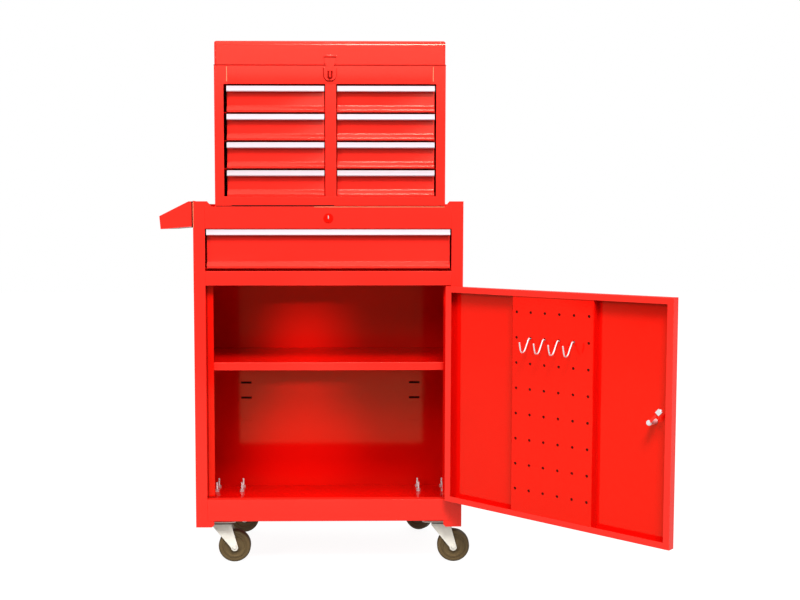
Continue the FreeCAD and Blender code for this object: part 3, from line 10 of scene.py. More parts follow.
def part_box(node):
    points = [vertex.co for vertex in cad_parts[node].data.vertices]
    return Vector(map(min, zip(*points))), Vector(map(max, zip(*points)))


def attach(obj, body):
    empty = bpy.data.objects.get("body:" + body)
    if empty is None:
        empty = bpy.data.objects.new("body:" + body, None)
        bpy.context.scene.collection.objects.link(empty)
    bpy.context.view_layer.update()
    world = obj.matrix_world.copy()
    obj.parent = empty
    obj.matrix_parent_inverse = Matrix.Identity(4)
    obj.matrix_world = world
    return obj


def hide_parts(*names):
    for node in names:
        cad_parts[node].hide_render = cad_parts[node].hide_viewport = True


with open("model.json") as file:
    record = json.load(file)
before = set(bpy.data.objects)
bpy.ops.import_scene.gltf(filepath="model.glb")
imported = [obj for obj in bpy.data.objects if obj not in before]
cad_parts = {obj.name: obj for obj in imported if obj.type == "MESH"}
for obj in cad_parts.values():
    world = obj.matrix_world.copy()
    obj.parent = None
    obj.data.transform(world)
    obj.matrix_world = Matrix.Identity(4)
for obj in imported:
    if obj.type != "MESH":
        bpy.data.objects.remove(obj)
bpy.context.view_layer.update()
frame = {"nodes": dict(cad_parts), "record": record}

nodes = frame["nodes"]
bodyOf = {n: b for b, members in frame["record"]["behaviour"]["bodies"].items() for n in members}
slotOf = {s["node"]: s["material_slot"] for s in frame["record"]["subparts"]}
mm = 0.001  # metres in a millimetre
print("frame loaded:", len(nodes), "nodes")


# inputs of a node are given as plain values or as the sockets that feed them
def feed(tree, node, inputs):
    for label, value in inputs.items():
        socket = node.inputs[label]
        if isinstance(value, bpy.types.NodeSocket):
            tree.links.new(value, socket)
        else:
            socket.default_value = value


def put(tree, kind, inputs=None, **settings):
    node = tree.nodes.new(kind)
    for key, value in settings.items():
        setattr(node, key, value)
    feed(tree, node, inputs or {})
    return node


# camera, solved from straight edges of the cabinet in the photograph

shot = {
    "place": (0.030, -2.3736, 0.7197),
    "lens": 48.21,
    "sensor": 36.0,
    "pitchDown": 3.992,
    "yawRight": 0.764,
    "shiftX": 0.0535,
}


def makeCamera():
    data = bpy.data.cameras.new("studioCamera")
    data.lens = shot["lens"]
    data.sensor_width = shot["sensor"]
    data.shift_x = shot["shiftX"]
    cam = bpy.data.objects.new("studioCamera", data)
    cam.location = shot["place"]
    cam.rotation_euler = (math.radians(90 - shot["pitchDown"]), 0, math.radians(-shot["yawRight"]))
    bpy.context.scene.collection.objects.link(cam)
    bpy.context.scene.camera = cam


# soft studio: a white floor that glows faintly, an even surround, and softboxes in front, above and at the sides

studio = {
    "floorColor": (0.09, 0.09, 0.09),
    "floorRoughness": 0.8,
    "floorSeen": 0.93,  # glow of the floor as the camera sees it
    "floorGlow": 0.46,  # glow with which it lights the cabinet
    "floorHalf": 9.0,
    "floorFront": -2.6,
    "skyColor": (1.0, 0.98, 0.95),
    "horizonGlow": 0.20,
    "skyGlow": 1.25,
    "skyFrom": 0.22,  # heights, as sines, between which the sky brightens
    "skyFull": 0.72,
    "seenWhite": 1.0,
}
softboxes = {
    # place, target, width and height in metres, watts, whether it shows in reflections and lights matt paint
    "highKey": ((0.4, -2.3, 3.1), (0, 0, 0.55), (1.3, 1.0), 190.0, False, True),
    "frontSoftbox": ((0.1, -3.4, 2.4), (0, 0, 0.8), (3.6, 2.0), 33.0, True, True),
    "leftFill": ((-2.3, -2.0, 1.5), (0.3, -0.2, 0.45), (0.7, 0.7), 44.0, False, True),
    "sideRight": ((2.6, -0.9, 1.0), (0, 0, 0.6), (1.2, 1.8), 14.0, True, True),
    "lidStrip": ((0.55, -1.6, 2.3), (0.2, -0.1, 1.05), (1.15, 0.9), 90.0, True, False),
}
pools = {
    # spots into the open cabinet, below the shelf and above it: target, opening in degrees, radius, watts
    "floorPool": ((-0.06, 0.10, 0.205), 7.3, 0.06, 250.0),
    "shelfPool": ((-0.055, 0.15, 0.440), 5.2, 0.07, 290.0),
}
poolsFrom = (0.30, -2.45, 1.00)  # where both spots hang


def makeFloor():
    mesh = bpy.data.meshes.new("studioFloor")
    half, front = studio["floorHalf"], studio["floorFront"]
    mesh.from_pydata([(-half, front, 0), (half, front, 0), (half, half, 0), (-half, half, 0)], [], [(0, 1, 2, 3)])
    floor = bpy.data.objects.new("studioFloor", mesh)
    bpy.context.scene.collection.objects.link(floor)
    mat = bpy.data.materials.new("paleFloor")
    mat.use_nodes = True
    tree = mat.node_tree
    seen = put(tree, "ShaderNodeLightPath").outputs["Is Camera Ray"]
    feed(tree, tree.nodes["Principled BSDF"], {
        "Base Color": (*studio["floorColor"], 1), "Roughness": studio["floorRoughness"],
        "Emission Color": (1, 1, 1, 1),
        "Emission Strength": spread(tree, seen, studio["floorGlow"], studio["floorSeen"])})
    mesh.materials.append(mat)


# the camera sees plain white; everything else is lit by a sky that brightens with height
def makeSky():
    world = bpy.data.worlds.new("studioAir")
    world.use_nodes = True
    tree = world.node_tree
    tree.nodes.clear()
    upward = put(tree, "ShaderNodeSeparateXYZ",
                 {"Vector": put(tree, "ShaderNodeTexCoord").outputs["Generated"]}).outputs["Z"]
    rise = put(tree, "ShaderNodeMapRange", {
        "Value": upward, "From Min": studio["skyFrom"], "From Max": studio["skyFull"],
        "To Min": studio["horizonGlow"], "To Max": studio["skyGlow"]}, interpolation_type="SMOOTHSTEP")
    lit = put(tree, "ShaderNodeBackground", {"Color": (*studio["skyColor"], 1), "Strength": rise.outputs["Result"]})
    seen = put(tree, "ShaderNodeBackground", {"Color": (1, 1, 1, 1), "Strength": studio["seenWhite"]})
    mix = put(tree, "ShaderNodeMixShader", {
        "Fac": put(tree, "ShaderNodeLightPath").outputs["Is Camera Ray"],
        1: lit.outputs["Background"], 2: seen.outputs["Background"]})
    put(tree, "ShaderNodeOutputWorld", {"Surface": mix.outputs["Shader"]})
    bpy.context.scene.world = world


def aimed(name, data, place, target):
    light = bpy.data.objects.new(name, data)
    light.location = place
    light.rotation_euler = (Vector(target) - Vector(place)).to_track_quat("-Z", "Y").to_euler()
    bpy.context.scene.collection.objects.link(light)
    return light


def softbox(name, place, target, size, watts, shows, lights):
    data = bpy.data.lights.new(name, "AREA")
    data.shape = "RECTANGLE"
    data.size, data.size_y = size
    data.energy = watts
    light = aimed(name, data, place, target)
    light.visible_glossy = shows
    light.visible_diffuse = lights


def lightPool(name, target, angle, radius, watts):
    data = bpy.data.lights.new(name, "SPOT")
    data.spot_size = math.radians(angle)
    data.spot_blend = 1.0
    data.shadow_soft_size = radius
    data.energy = watts
    aimed(name, data, poolsFrom, target).visible_glossy = False


def makeStudio():
    makeFloor()
    makeSky()
    for name, values in softboxes.items():
        softbox(name, *values)
    for name, values in pools.items():
        lightPool(name, *values)
    bpy.context.scene.view_settings.view_transform = "Standard"


# the strip draws the bright line along the creases and the hasp's roll, and lights nothing else
def keepStripOn(pieces):
    only = bpy.data.collections.new("lidStripLights")
    for name in pieces:
        only.objects.link(bpy.data.objects[name])
    bpy.data.objects["lidStrip"].light_linking.receiver_collection = only


# finishes

finish = {
    "redPaint": {"color": (0.66, 0.0150, 0.0092), "shade": (0.60, 0.0125, 0.0076), "roughness": 0.17,
                 "specular": 0.42, "tint": (1.0, 0.86, 0.66), "peelScale": 420.0, "peel": 0.030, "driftScale": 5.0},
    # darker, more saturated copy of the red paint: painted shade for the cabinet's inside, recessed faces and the
    # drawer lock
    "redPaintShaded": {"color": (0.62, 0.0024, 0.0010), "shade": (0.54, 0.0016, 0.0007), "roughness": 0.09,
                  "specular": 0.38, "tint": (1.0, 0.80, 0.36), "peelScale": 380.0, "peel": 0.035, "driftScale": 4.0},
    # near-black and dark red: painted shade in gaps, slots, under parts and behind the peg panel
    "deepPaintedShade": {"color": (0.045, 0.006, 0.004), "shade": (0.030, 0.004, 0.003), "roughness": 0.80, "metallic": 0.0,
                  "specular": 0.08, "spangle": 500.0, "bump": 0.08},
    "seamShade": {"color": (0.24, 0.004, 0.002), "shade": (0.17, 0.003, 0.0015), "roughness": 0.70, "metallic": 0.0,
                  "specular": 0.10, "spangle": 500.0, "bump": 0.05},
    # pale orange: painted highlight on edges of the front
    "seamPaintedHighlight": {"color": (0.95, 0.19, 0.10), "shade": (0.88, 0.16, 0.08), "roughness": 0.50, "metallic": 0.0,
                 "specular": 0.30, "spangle": 500.0, "bump": 0.05},
    "zinc": {"color": (0.70, 0.67, 0.59), "shade": (0.62, 0.59, 0.52), "roughness": 0.46, "metallic": 0.12,
             "specular": 0.5, "spangle": 90.0, "bump": 0.05},
    "brightSteel": {"color": (0.82, 0.80, 0.81), "shade": (0.70, 0.68, 0.69), "roughness": 0.24, "metallic": 0.62,
                    "specular": 0.5, "spangle": 700.0, "bump": 0.02},
    "aluminium": {"color": (0.81, 0.69, 0.745), "shade": (0.72, 0.62, 0.67), "roughness": 0.38, "metallic": 1.0,
                  "grainScale": 900.0, "grain": 0.06, "stretch": (0.02, 1, 1)},
    "tread": {"color": (0.108, 0.072, 0.030), "shade": (0.072, 0.047, 0.020), "roughness": 0.52, "specular": 0.25,
              "grainScale": 260.0, "bump": 0.10,
              # tone at distances from the axle, as shares of the wheel's radius
              "rings": [(0.30, 0.92), (0.62, 1.0), (0.68, 0.80), (0.80, 1.0), (0.93, 0.95), (0.97, 0.62)]},
}
# how far roughness swings about its middle value, and the depth of the relief in metres
texture = {
    "paint": {"swing": 0.04, "relief": 0.0004, "cloudScale": 28.0},
    "pull": {"swing": 0.06, "relief": 0.0003},
    "grained": {"swing": 0.08, "relief": 0.0003, "cloudShare": 0.5},
}


def newMaterial(name):
    mat = bpy.data.materials.new(name)
    mat.use_nodes = True
    tree = mat.node_tree
    return mat, tree, tree.nodes["Principled BSDF"], tree.nodes.new("ShaderNodeTexCoord")


def twoTone(tree, factor, first, second):
    return put(tree, "ShaderNodeMix", {"A": (*first, 1), "B": (*second, 1), "Factor": factor},
               data_type="RGBA").outputs["Result"]


def spread(tree, value, low, high):
    return put(tree, "ShaderNodeMapRange", {"To Min": low, "To Max": high, "Value": value}).outputs["Result"]


def noise(tree, coords, scale, detail):
    return put(tree, "ShaderNodeTexNoise", {"Scale": scale, "Detail": detail, "Vector": coords}).outputs["Fac"]


# roughness and relief follow the patterns, the rest is the same all over
def finishShader(tree, shader, look, kind, tone, cloud, height, strength):
    grain = texture[kind]
    normal = put(tree, "ShaderNodeBump", {"Strength": strength, "Distance": grain["relief"], "Height": height})
    feed(tree, shader, {
        "Base Color": tone,
        "Roughness": spread(tree, cloud, look["roughness"] - grain["swing"], look["roughness"] + grain["swing"]),
        "Normal": normal.outputs["Normal"]})
    if "metallic" in look:
        shader.inputs["Metallic"].default_value = look["metallic"]
    if "specular" in look:
        shader.inputs["Specular IOR Level"].default_value = look["specular"]


# gloss enamel: slow drift of tone, fine orange peel, slightly warm reflections
def paintMaterial(name):
    look = finish[name]
    mat, tree, shader, coords = newMaterial(name)
    place = coords.outputs["Object"]
    tone = twoTone(tree, noise(tree, place, look["driftScale"], detail=3), look["shade"], look["color"])
    cloud = noise(tree, place, texture["paint"]["cloudScale"], detail=4)
    peel = noise(tree, place, look["peelScale"], detail=2)
    finishShader(tree, shader, look, "paint", tone, cloud, peel, look["peel"])
    shader.inputs["Specular Tint"].default_value = (*look["tint"], 1)
    return mat


# brushed aluminium: grain drawn out along the pull
def extrusionMaterial():
    look = finish["aluminium"]
    mat, tree, shader, coords = newMaterial("aluminium")
    drawn = put(tree, "ShaderNodeMapping", {"Scale": look["stretch"], "Vector": coords.outputs["Object"]})
    grain = noise(tree, drawn.outputs["Vector"], look["grainScale"], detail=3)
    tone = twoTone(tree, grain, look["shade"], look["color"])
    finishShader(tree, shader, look, "pull", tone, grain, grain, look["grain"])
    return mat


# plated steel, and the pieces of painted shade and painted highlight: small cells in the colour, clouded roughness
def grainedMaterial(name):
    look = finish[name]
    mat, tree, shader, coords = newMaterial(name)
    place = coords.outputs["Object"]
    cells = put(tree, "ShaderNodeTexVoronoi", {"Scale": look["spangle"], "Vector": place})
    cloud = noise(tree, place, look["spangle"] * texture["grained"]["cloudShare"], detail=4)
    tone = twoTone(tree, cells.outputs["Distance"], look["color"], look["shade"])
    finishShader(tree, shader, look, "grained", tone, cloud, cloud, look["bump"])
    return mat


# moulded wheel: mottled brown, darker towards the rim; V of the wheel's UV map is the distance from the axle
def treadMaterial():
    look = finish["tread"]
    mat, tree, shader, coords = newMaterial("tread")
    cloud = noise(tree, coords.outputs["Object"], look["grainScale"], detail=4)
    fromAxle = put(tree, "ShaderNodeSeparateXYZ", {"Vector": coords.outputs["UV"]}).outputs["Y"]
    rings = put(tree, "ShaderNodeValToRGB", {"Fac": fromAxle})
    stops = rings.color_ramp.elements
    first, *between, last = look["rings"]
    for stop, (at, value) in zip(list(stops), (first, last)):
        stop.position, stop.color = at, (value, value, value, 1)
    for at, value in between:
        stops.new(at).color = (value, value, value, 1)
    ringed = put(tree, "ShaderNodeMix", {
        "Factor": 1.0, "A": twoTone(tree, cloud, look["shade"], look["color"]), "B": rings.outputs["Color"]},
        data_type="RGBA", blend_type="MULTIPLY")
    finishShader(tree, shader, look, "grained", ringed.outputs["Result"], cloud, cloud, look["bump"])
    return mat


makeCamera()
makeStudio()
materials = {name: paintMaterial(name) for name in ("redPaint", "redPaintShaded")}
materials |= {name: grainedMaterial(name) for name in ("deepPaintedShade", "seamShade", "seamPaintedHighlight", "zinc", "brightSteel")}
materials |= {"aluminium": extrusionMaterial(), "tread": treadMaterial()}
slotFinish = {"red_paint": "redPaint", "aluminium": "aluminium", "zinc": "zinc", "bright": "brightSteel",
              "tread": "tread"}
print("camera, studio and", len(materials), "materials made")


# helpers for pieces; edges that turn by more than crispFrom degrees are shaded sharp

def addPiece(name, mesh, material, body, replaced=(), crispFrom=22):
    if not mesh.materials:
        mesh.materials.append(materials[material])
    piece = bpy.data.objects.new(name, mesh)
    bpy.context.scene.collection.objects.link(piece)
    mesh.polygons.foreach_set("use_smooth", [True] * len(mesh.polygons))
    mesh.set_sharp_from_angle(angle=math.radians(crispFrom))
    mesh.update()
    if replaced:
        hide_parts(*replaced)
    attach(piece, body)
    return piece


def meshFrom(name, bm):
    bmesh.ops.recalc_face_normals(bm, faces=bm.faces)
    mesh = bpy.data.meshes.new(name)
    bm.to_mesh(mesh)
    bm.free()
    return mesh


def softenEdges(piece, width, byWeight=False):
    edge = piece.modifiers.new("softEdge", "BEVEL")
    edge.width = width
    edge.segments = sheetEdge["segments"]
    edge.limit_method = "WEIGHT" if byWeight else "ANGLE"
    edge.angle_limit = math.radians(sheetEdge["sharpAngle"])
    edge.use_clamp_overlap = True
    edge.harden_normals = True


def addBlock(bm, low, high, place=Matrix.Identity(4)):
    size = Vector(high) - Vector(low)
    middle = (Vector(high) + Vector(low)) / 2
    bmesh.ops.create_cube(bm, size=1.0, matrix=place @ Matrix.Translation(middle) @ Matrix.Diagonal((*size, 1)))


# one piece made of blocks, whose low and high corners are given in millimetres
def blocksPiece(name, boxes, look, body, place=Matrix.Identity(4)):
    bm = bmesh.new()
    for low, high in boxes:
        addBlock(bm, Vector(low) * mm, Vector(high) * mm, place)
    return addPiece(name, meshFrom(name, bm), look, body)


# closed bar between two outlines with the same number of points
def addBar(bm, outlines):
    rings = [[bm.verts.new(spot) for spot in outline] for outline in outlines]
    for ring in rings:
        bm.faces.new(ring)
    for i in range(len(rings[0])):
        j = (i + 1) % len(rings[0])
        bm.faces.new((rings[0][i], rings[0][j], rings[1][j], rings[1][i]))


def arcPoints(centre, radius, start, stop, steps):
    spots = []
    for k in range(steps + 1):
        a = math.radians(start + (stop - start) * k / steps)
        spots.append((centre[0] + radius * math.cos(a), centre[1] + radius * math.sin(a)))
    return spots


# geometry node trees are put together with these; an input with no value is set when the tree is used

def newTree(name, inputs):
    tree = bpy.data.node_groups.new(name, "GeometryNodeTree")
    tree.interface.new_socket("Geometry", in_out="INPUT", socket_type="NodeSocketGeometry")
    for label, (kind, value) in inputs.items():
        socket = tree.interface.new_socket(label, in_out="INPUT", socket_type="NodeSocket" + kind)
        if value is not None:
            socket.default_value = value
    tree.interface.new_socket("Geometry", in_out="OUTPUT", socket_type="NodeSocketGeometry")
    return tree, tree.nodes.new("NodeGroupInput").outputs, tree.nodes.new("NodeGroupOutput").inputs


def calc(tree, operation, first, second, third=0.0):
    return put(tree, "ShaderNodeMath", {0: first, 1: second, 2: third}, operation=operation).outputs[0]


def upBy(tree, height):
    return put(tree, "ShaderNodeCombineXYZ", {"Z": height}).outputs["Vector"]


# copies of a shape in a row along Z
def rowOf(tree, shape, count, first, pitch):
    line = put(tree, "GeometryNodeMeshLine", {
        "Count": count, "Start Location": upBy(tree, first), "Offset": upBy(tree, pitch)})
    row = put(tree, "GeometryNodeInstanceOnPoints", {"Points": line.outputs["Mesh"], "Instance": shape})
    return row.outputs["Instances"]


def joined(tree, shapes):
    join = put(tree, "GeometryNodeJoinGeometry")
    for shape in shapes:
        tree.links.new(shape, join.inputs["Geometry"])
    return join.outputs["Geometry"]


# points that carry the direction in which a fastener's head looks
def pointsMesh(name, spots):
    mesh = bpy.data.meshes.new(name)
    mesh.from_pydata([s[0] for s in spots], [], [])
    facing = mesh.attributes.new("facing", "FLOAT_VECTOR", "POINT")
    facing.data.foreach_set("vector", [c for s in spots for c in s[1]])
    return mesh


def onPoints(tree, points, shape):
    facing = put(tree, "GeometryNodeInputNamedAttribute", {"Name": "facing"}, data_type="FLOAT_VECTOR")
    turn = put(tree, "FunctionNodeAlignRotationToVector", {"Vector": facing.outputs["Attribute"]}, axis="Z")
    placed = put(tree, "GeometryNodeInstanceOnPoints",
                 {"Points": points, "Instance": shape, "Rotation": turn.outputs["Rotation"]})
    return placed.outputs["Instances"]


def finishTree(tree, end, shape, material):
    real = put(tree, "GeometryNodeRealizeInstances", {"Geometry": shape}).outputs["Geometry"]
    painted = put(tree, "GeometryNodeSetMaterial", {"Geometry": real, "Material": material})
    tree.links.new(painted.outputs["Geometry"], end["Geometry"])
    return tree


# runs a tree on a source mesh and gives back a plain mesh; inputs are set by identifier before it is evaluated
def grow(name, tree, source, values):
    seedling = bpy.data.objects.new(name + "Seed", source)
    bpy.context.scene.collection.objects.link(seedling)
    modifier = seedling.modifiers.new("grow", "NODES")
    modifier.node_group = tree
    for item in tree.interface.items_tree:
        if item.item_type == "SOCKET" and item.in_out == "INPUT" and item.name in values:
            modifier[item.identifier] = values[item.name]
    graph = bpy.context.evaluated_depsgraph_get()
    mesh = bpy.data.meshes.new_from_object(seedling.evaluated_get(graph), depsgraph=graph)
    seedling.modifiers.remove(modifier)
    bpy.data.objects.remove(seedling)
    mesh.name = name
    return mesh


# sheet metal: the folded parts, with the small rounding that a press brake and paint leave on their edges

sheetEdge = {"fold": 0.0010, "cut": 0.30, "segments": 2, "sharpAngle": 24.0, "wide": 0.003, "mergeWithin": 0.00001,
             "flatWithin": 1.0}
# narrower rounding of the small parts, in metres
fineEdge = {"fork": 0.0009, "plates": 0.0006, "pegPanel": 0.0006, "lockBarrel": 0.0004, "lockCam": 0.0003,
            "pullEnds": 0.0004, "rimShade": 0.0004}
sheetParts = [
    "top_rail", "mid_rail", "sill_rail", "deck", "cabinet_back",
    "cabinet_floor", "side_tray", "chest_side_left", "chest_side_right", "chest_till", "chest_foot_rail",
    "chest_partition", "chest_shell", "lid", "wide_drawer", "hasp_leaf", "hasp_strap", "hasp_staple",
    "drawer_lock_barrel", "drawer_lock_plug", "wide_drawer_runners", "chest_runners",
]
smallDrawers = [f"drawer_{side}_{row}" for side in ("left", "right") for row in range(1, 5)]
# parts painted all over in the shaded copy of the red paint, as painted shade
shadedRedParts = {"cabinet_back", "cabinet_floor", "chest_shell", "chest_runners", "wide_drawer_runners",
               "drawer_lock_barrel", "drawer_lock_plug"}


def mergedCopy(node):
    bm = bmesh.new()
    bm.from_mesh(nodes[node].data)
    bmesh.ops.remove_doubles(bm, verts=bm.verts, dist=sheetEdge["mergeWithin"])
    bmesh.ops.dissolve_limit(bm, angle_limit=math.radians(sheetEdge["flatWithin"]), verts=bm.verts, edges=bm.edges)
    return bm


# folded edges between two wide faces get the full radius, cut edges of the sheet a small part of it
def weighEdges(bm):
    weight = bm.edges.layers.float.new("bevel_weight_edge")
    breadth = {f: f.calc_area() / max(e.calc_length() for e in f.edges) for f in bm.faces}
    for e in bm.edges:
        if len(e.link_faces) == 2 and e.calc_face_angle(0) > math.radians(sheetEdge["sharpAngle"]):
            narrow = min(breadth[f] for f in e.link_faces)
            e[weight] = 1.0 if narrow > sheetEdge["wide"] else sheetEdge["cut"]


def finishSheet(node, material=None, fold=None, shape=None):
    bm = shape or mergedCopy(node)
    weighEdges(bm)
    mesh = meshFrom(node + "_finished", bm)
    piece = addPiece(node + "_finished", mesh, material or slotFinish[slotOf[node]], bodyOf[node],
                     (node,))
    softenEdges(piece, fold or sheetEdge["fold"], True)
    return piece


# a sheet part whose picked faces get the darker, shaded copy of the red paint, as painted shade
def finishWithShadedFaces(node, picks):
    bm = mergedCopy(node)
    for f in bm.faces:
        f.material_index = 1 if picks(f) else 0
    finishSheet(node, shape=bm).data.materials.append(materials["redPaintShaded"])


def makeSheetParts():
    for part in sheetParts + smallDrawers:
        finishSheet(part, "redPaintShaded" if part in shadedRedParts else None)


# pulls: an extrusion with a face that leans back a little, rounded lips and lightly broken ends

pull = {"round": 0.0014, "wall": 0.0016, "hollow": 0.00012, "lean": 0.0013, "wideLean": 0.0019, "lip": 0.0032,
        "leg": 0.0090, "heel": 0.0006, "arcSteps": 5, "bowSteps": 6}


# section in (y, z), taken counter-clockwise from the top of the drawer's face
def pullSection(front, face, foot, top, lean):
    r, wall, lipR = pull["round"], pull["wall"], pull["wall"] / 2
    flat = arcPoints((front + lean + r, top - r), r, 90, 180, pull["arcSteps"])
    bow = []
    for k in range(1, pull["bowSteps"]):
        t = k / pull["bowSteps"]
        bow.append((front + lean * (1 - t) + pull["hollow"] * 4 * t * (1 - t),
                    top - r - (top - foot - 2 * r) * t))
    lower = arcPoints((front + r, foot + r), r, 180, 270, pull["arcSteps"])
    lip = arcPoints((front + pull["lip"] - lipR, foot + lipR), lipR, -90, 90, pull["arcSteps"])
    inner = front + wall + lean
    rest = [(inner, foot + wall + pull["heel"]), (inner, top - wall), (face - wall, top - wall),
            (face - wall, top - pull["leg"]), (face, top - pull["leg"]), (face, top)]
    return flat + bow + lower + lip + rest


def makePull(node):
    low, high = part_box(node)
    lean = pull["wideLean" if node.startswith("wide") else "lean"]
    section = pullSection(low.y, high.y, low.z, high.z, lean)
    bm = bmesh.new()
    addBar(bm, [[(x, y, z) for y, z in section] for x in (low.x, high.x)])
    piece = addPiece(node + "_extrusion", meshFrom(node + "_extrusion", bm), "aluminium", bodyOf[node],
                     (node,))
    softenEdges(piece, fineEdge["pullEnds"])


# turned pieces: a profile of (along the axle, radius) spun about local X, with V of the UV map as the radius

def turned(name, profile, place, steps, loop):
    bm = bmesh.new()
    uv = bm.loops.layers.uv.new("turned")
    widest = max(r for _, r in profile)
    rings = []
    for k in range(steps):
        a = 2 * math.pi * k / steps
        rings.append([bm.verts.new((x, r * math.cos(a), r * math.sin(a))) for x, r in profile])
    pairs = len(profile) if loop else len(profile) - 1
    for k in range(steps):
        following = (k + 1) % steps
        for i in range(pairs):
            j = (i + 1) % len(profile)
            face = bm.faces.new((rings[k][i], rings[k][j], rings[following][j], rings[following][i]))
            turnsAt = (k, k, k + 1, k + 1)
            for corner, at, edge in zip(face.loops, turnsAt, (i, j, j, i)):
                corner[uv].uv = (at / steps, profile[edge][1] / widest)
    bmesh.ops.remove_doubles(bm, verts=bm.verts, dist=0.001 * mm)
    bmesh.ops.transform(bm, matrix=place, verts=bm.verts)
    return meshFrom(name, bm)


# casters: moulded wheels with ringed sides, forks with softened edges, and on each fork a ball race and strips along
# the cheeks, both dark as painted shade under the caster plate

casters = {
    "headings": {"front_left": 2, "front_right": -4, "rear_left": 6, "rear_right": 143},
    "x": 0.2345, "y": 0.110, "trail": 0.032, "wheelRadius": 0.0343, "steps": 96, "crispFrom": 40,
    # half of the wheel's section in millimetres from its middle: (along the axle, radius)
    "section": [(0.0, 34.3), (6.8, 34.3), (8.9, 33.7), (10.3, 32.3), (11.0, 30.2), (11.0, 27.6), (10.6, 27.2),
                (10.1, 26.9), (10.1, 25.6), (10.6, 25.3), (11.0, 24.9), (11.0, 21.8), (10.2, 21.0), (9.3, 20.4),
                (9.0, 19.6), (9.0, 14.2), (9.4, 13.2), (10.4, 12.4), (10.8, 11.4), (11.0, 10.3), (12.0, 9.6),
                (12.0, 3.2)],
    "race": [(-0.9, 15.0), (-0.9, 20.4), (-1.5, 21.0), (-3.8, 21.0), (-4.4, 20.4), (-4.4, 15.0)],
    "raceTop": 0.0893, "raceSteps": 48, "raceCrispFrom": 30,
    # dark strips along the top of the cheeks, painted shade under the plate, in the fork's own frame
    "raceShades": [((-14.5, 15.7, 83.9), (31.0, 16.7, 86.1)), ((-14.5, -16.7, 83.9), (31.0, -15.7, 86.1))],
}


def makeWheel(node, x, y, heading):
    half = [(along * mm, r * mm) for along, r in casters["section"]]
    profile = [(-along, r) for along, r in reversed(half)] + half[1:]
    place = (Matrix.Translation((x + casters["trail"] * math.cos(heading),
                                 y + casters["trail"] * math.sin(heading), casters["wheelRadius"]))
             @ Matrix.Rotation(heading + math.pi / 2, 4, "Z"))
    mesh = turned(node + "_moulded", profile, place, casters["steps"], True)
    addPiece(node + "_moulded", mesh, "tread", bodyOf[node], (node,), casters["crispFrom"])


def makeRace(name, fork, x, y):
    profile = [(along * mm, r * mm) for along, r in casters["race"]]
    place = Matrix.Translation((x, y, casters["raceTop"])) @ Matrix.Rotation(-math.pi / 2, 4, "Y")
    mesh = turned(name, profile, place, casters["raceSteps"], True)
    addPiece(name, mesh, "deepPaintedShade", fork, (), casters["raceCrispFrom"])


def makeCasters():
    for name, degrees in casters["headings"].items():
        x = casters["x"] * (-1 if "left" in name else 1)
        y = casters["y"] * (-1 if "front" in name else 1)
        heading = math.radians(degrees)
        fork = bodyOf[f"caster_{name}_fork"]
        makeWheel(f"caster_{name}_wheel", x, y, heading)
        makeRace(f"caster_{name}_race", fork, x, y)
        blocksPiece(f"caster_{name}_race_shade", casters["raceShades"], "deepPaintedShade", fork,
                    Matrix.Translation((x, y, 0)) @ Matrix.Rotation(heading, 4, "Z"))
        finishSheet(f"caster_{name}_fork", fold=fineEdge["fork"])
    finishSheet("caster_plates", fold=fineEdge["plates"])


# bolts through the cabinet's floor that hold the caster plates

floorBolt = {"halfX": 0.02875, "halfY": 0.0200, "floorTop": 0.1010, "washer": 0.0050, "washerThick": 0.0010,
             "nut": 0.0048, "nutHigh": 0.0044, "shank": 0.0026, "length": 0.0215, "pitch": 0.0010,
             "core": 0.84, "ridge": 0.8,  # of the thread: its core as a share of the shank, a ridge of the pitch
             "washerSides": 24, "nutSides": 6, "shankSides": 12, "crispFrom": 30}


def boltTree():
    size = {k: ("Float", floorBolt[v]) for k, v in (
        ("Washer Radius", "washer"), ("Washer Thickness", "washerThick"), ("Nut Radius", "nut"),
        ("Nut Height", "nutHigh"), ("Shank Radius", "shank"), ("Length", "length"), ("Pitch", "pitch"))}
    size["Finish"] = ("Material", None)
    tree, start, end = newTree("floorBolts", size)
    core = calc(tree, "MULTIPLY", start["Shank Radius"], floorBolt["core"])

    def stub(sides, radius, height, base):
        bar = put(tree, "GeometryNodeMeshCylinder",
                  {"Vertices": floorBolt[sides], "Radius": radius, "Depth": height}).outputs["Mesh"]
        up = upBy(tree, calc(tree, "MULTIPLY_ADD", height, 0.5, base))
        return put(tree, "GeometryNodeTransform", {"Geometry": bar, "Translation": up}).outputs["Geometry"]

    ridge = put(tree, "GeometryNodeMeshCone", {
        "Vertices": floorBolt["shankSides"], "Radius Top": core, "Radius Bottom": start["Shank Radius"],
        "Depth": calc(tree, "MULTIPLY", start["Pitch"], floorBolt["ridge"])}).outputs["Mesh"]
    turns = calc(tree, "DIVIDE", calc(tree, "SUBTRACT", start["Length"], start["Nut Height"]), start["Pitch"])
    bolt = joined(tree, [
        stub("washerSides", start["Washer Radius"], start["Washer Thickness"], 0.0),
        stub("nutSides", start["Nut Radius"], start["Nut Height"], start["Washer Thickness"]),
        stub("shankSides", core, start["Length"], 0.0),
        rowOf(tree, ridge, calc(tree, "FLOOR", turns, 0.0), start["Nut Height"], start["Pitch"])])
    return finishTree(tree, end, onPoints(tree, start["Geometry"], bolt), start["Finish"])


def makeFloorBolts():
    spots = [((sx * casters["x"] + dx * floorBolt["halfX"], sy * casters["y"] + dy * floorBolt["halfY"],
               floorBolt["floorTop"]), (0, 0, 1)) for sx, sy, dx, dy in product((-1, 1), repeat=4)]
    mesh = grow("floorBolts", boltTree(), pointsMesh("boltPlaces", spots), {"Finish": materials["brightSteel"]})
    addPiece("floorBolts", mesh, "brightSteel", "cabinet", (), floorBolt["crispFrom"])


# rivets that hold the back panels, the chest's runners and the lid hinge

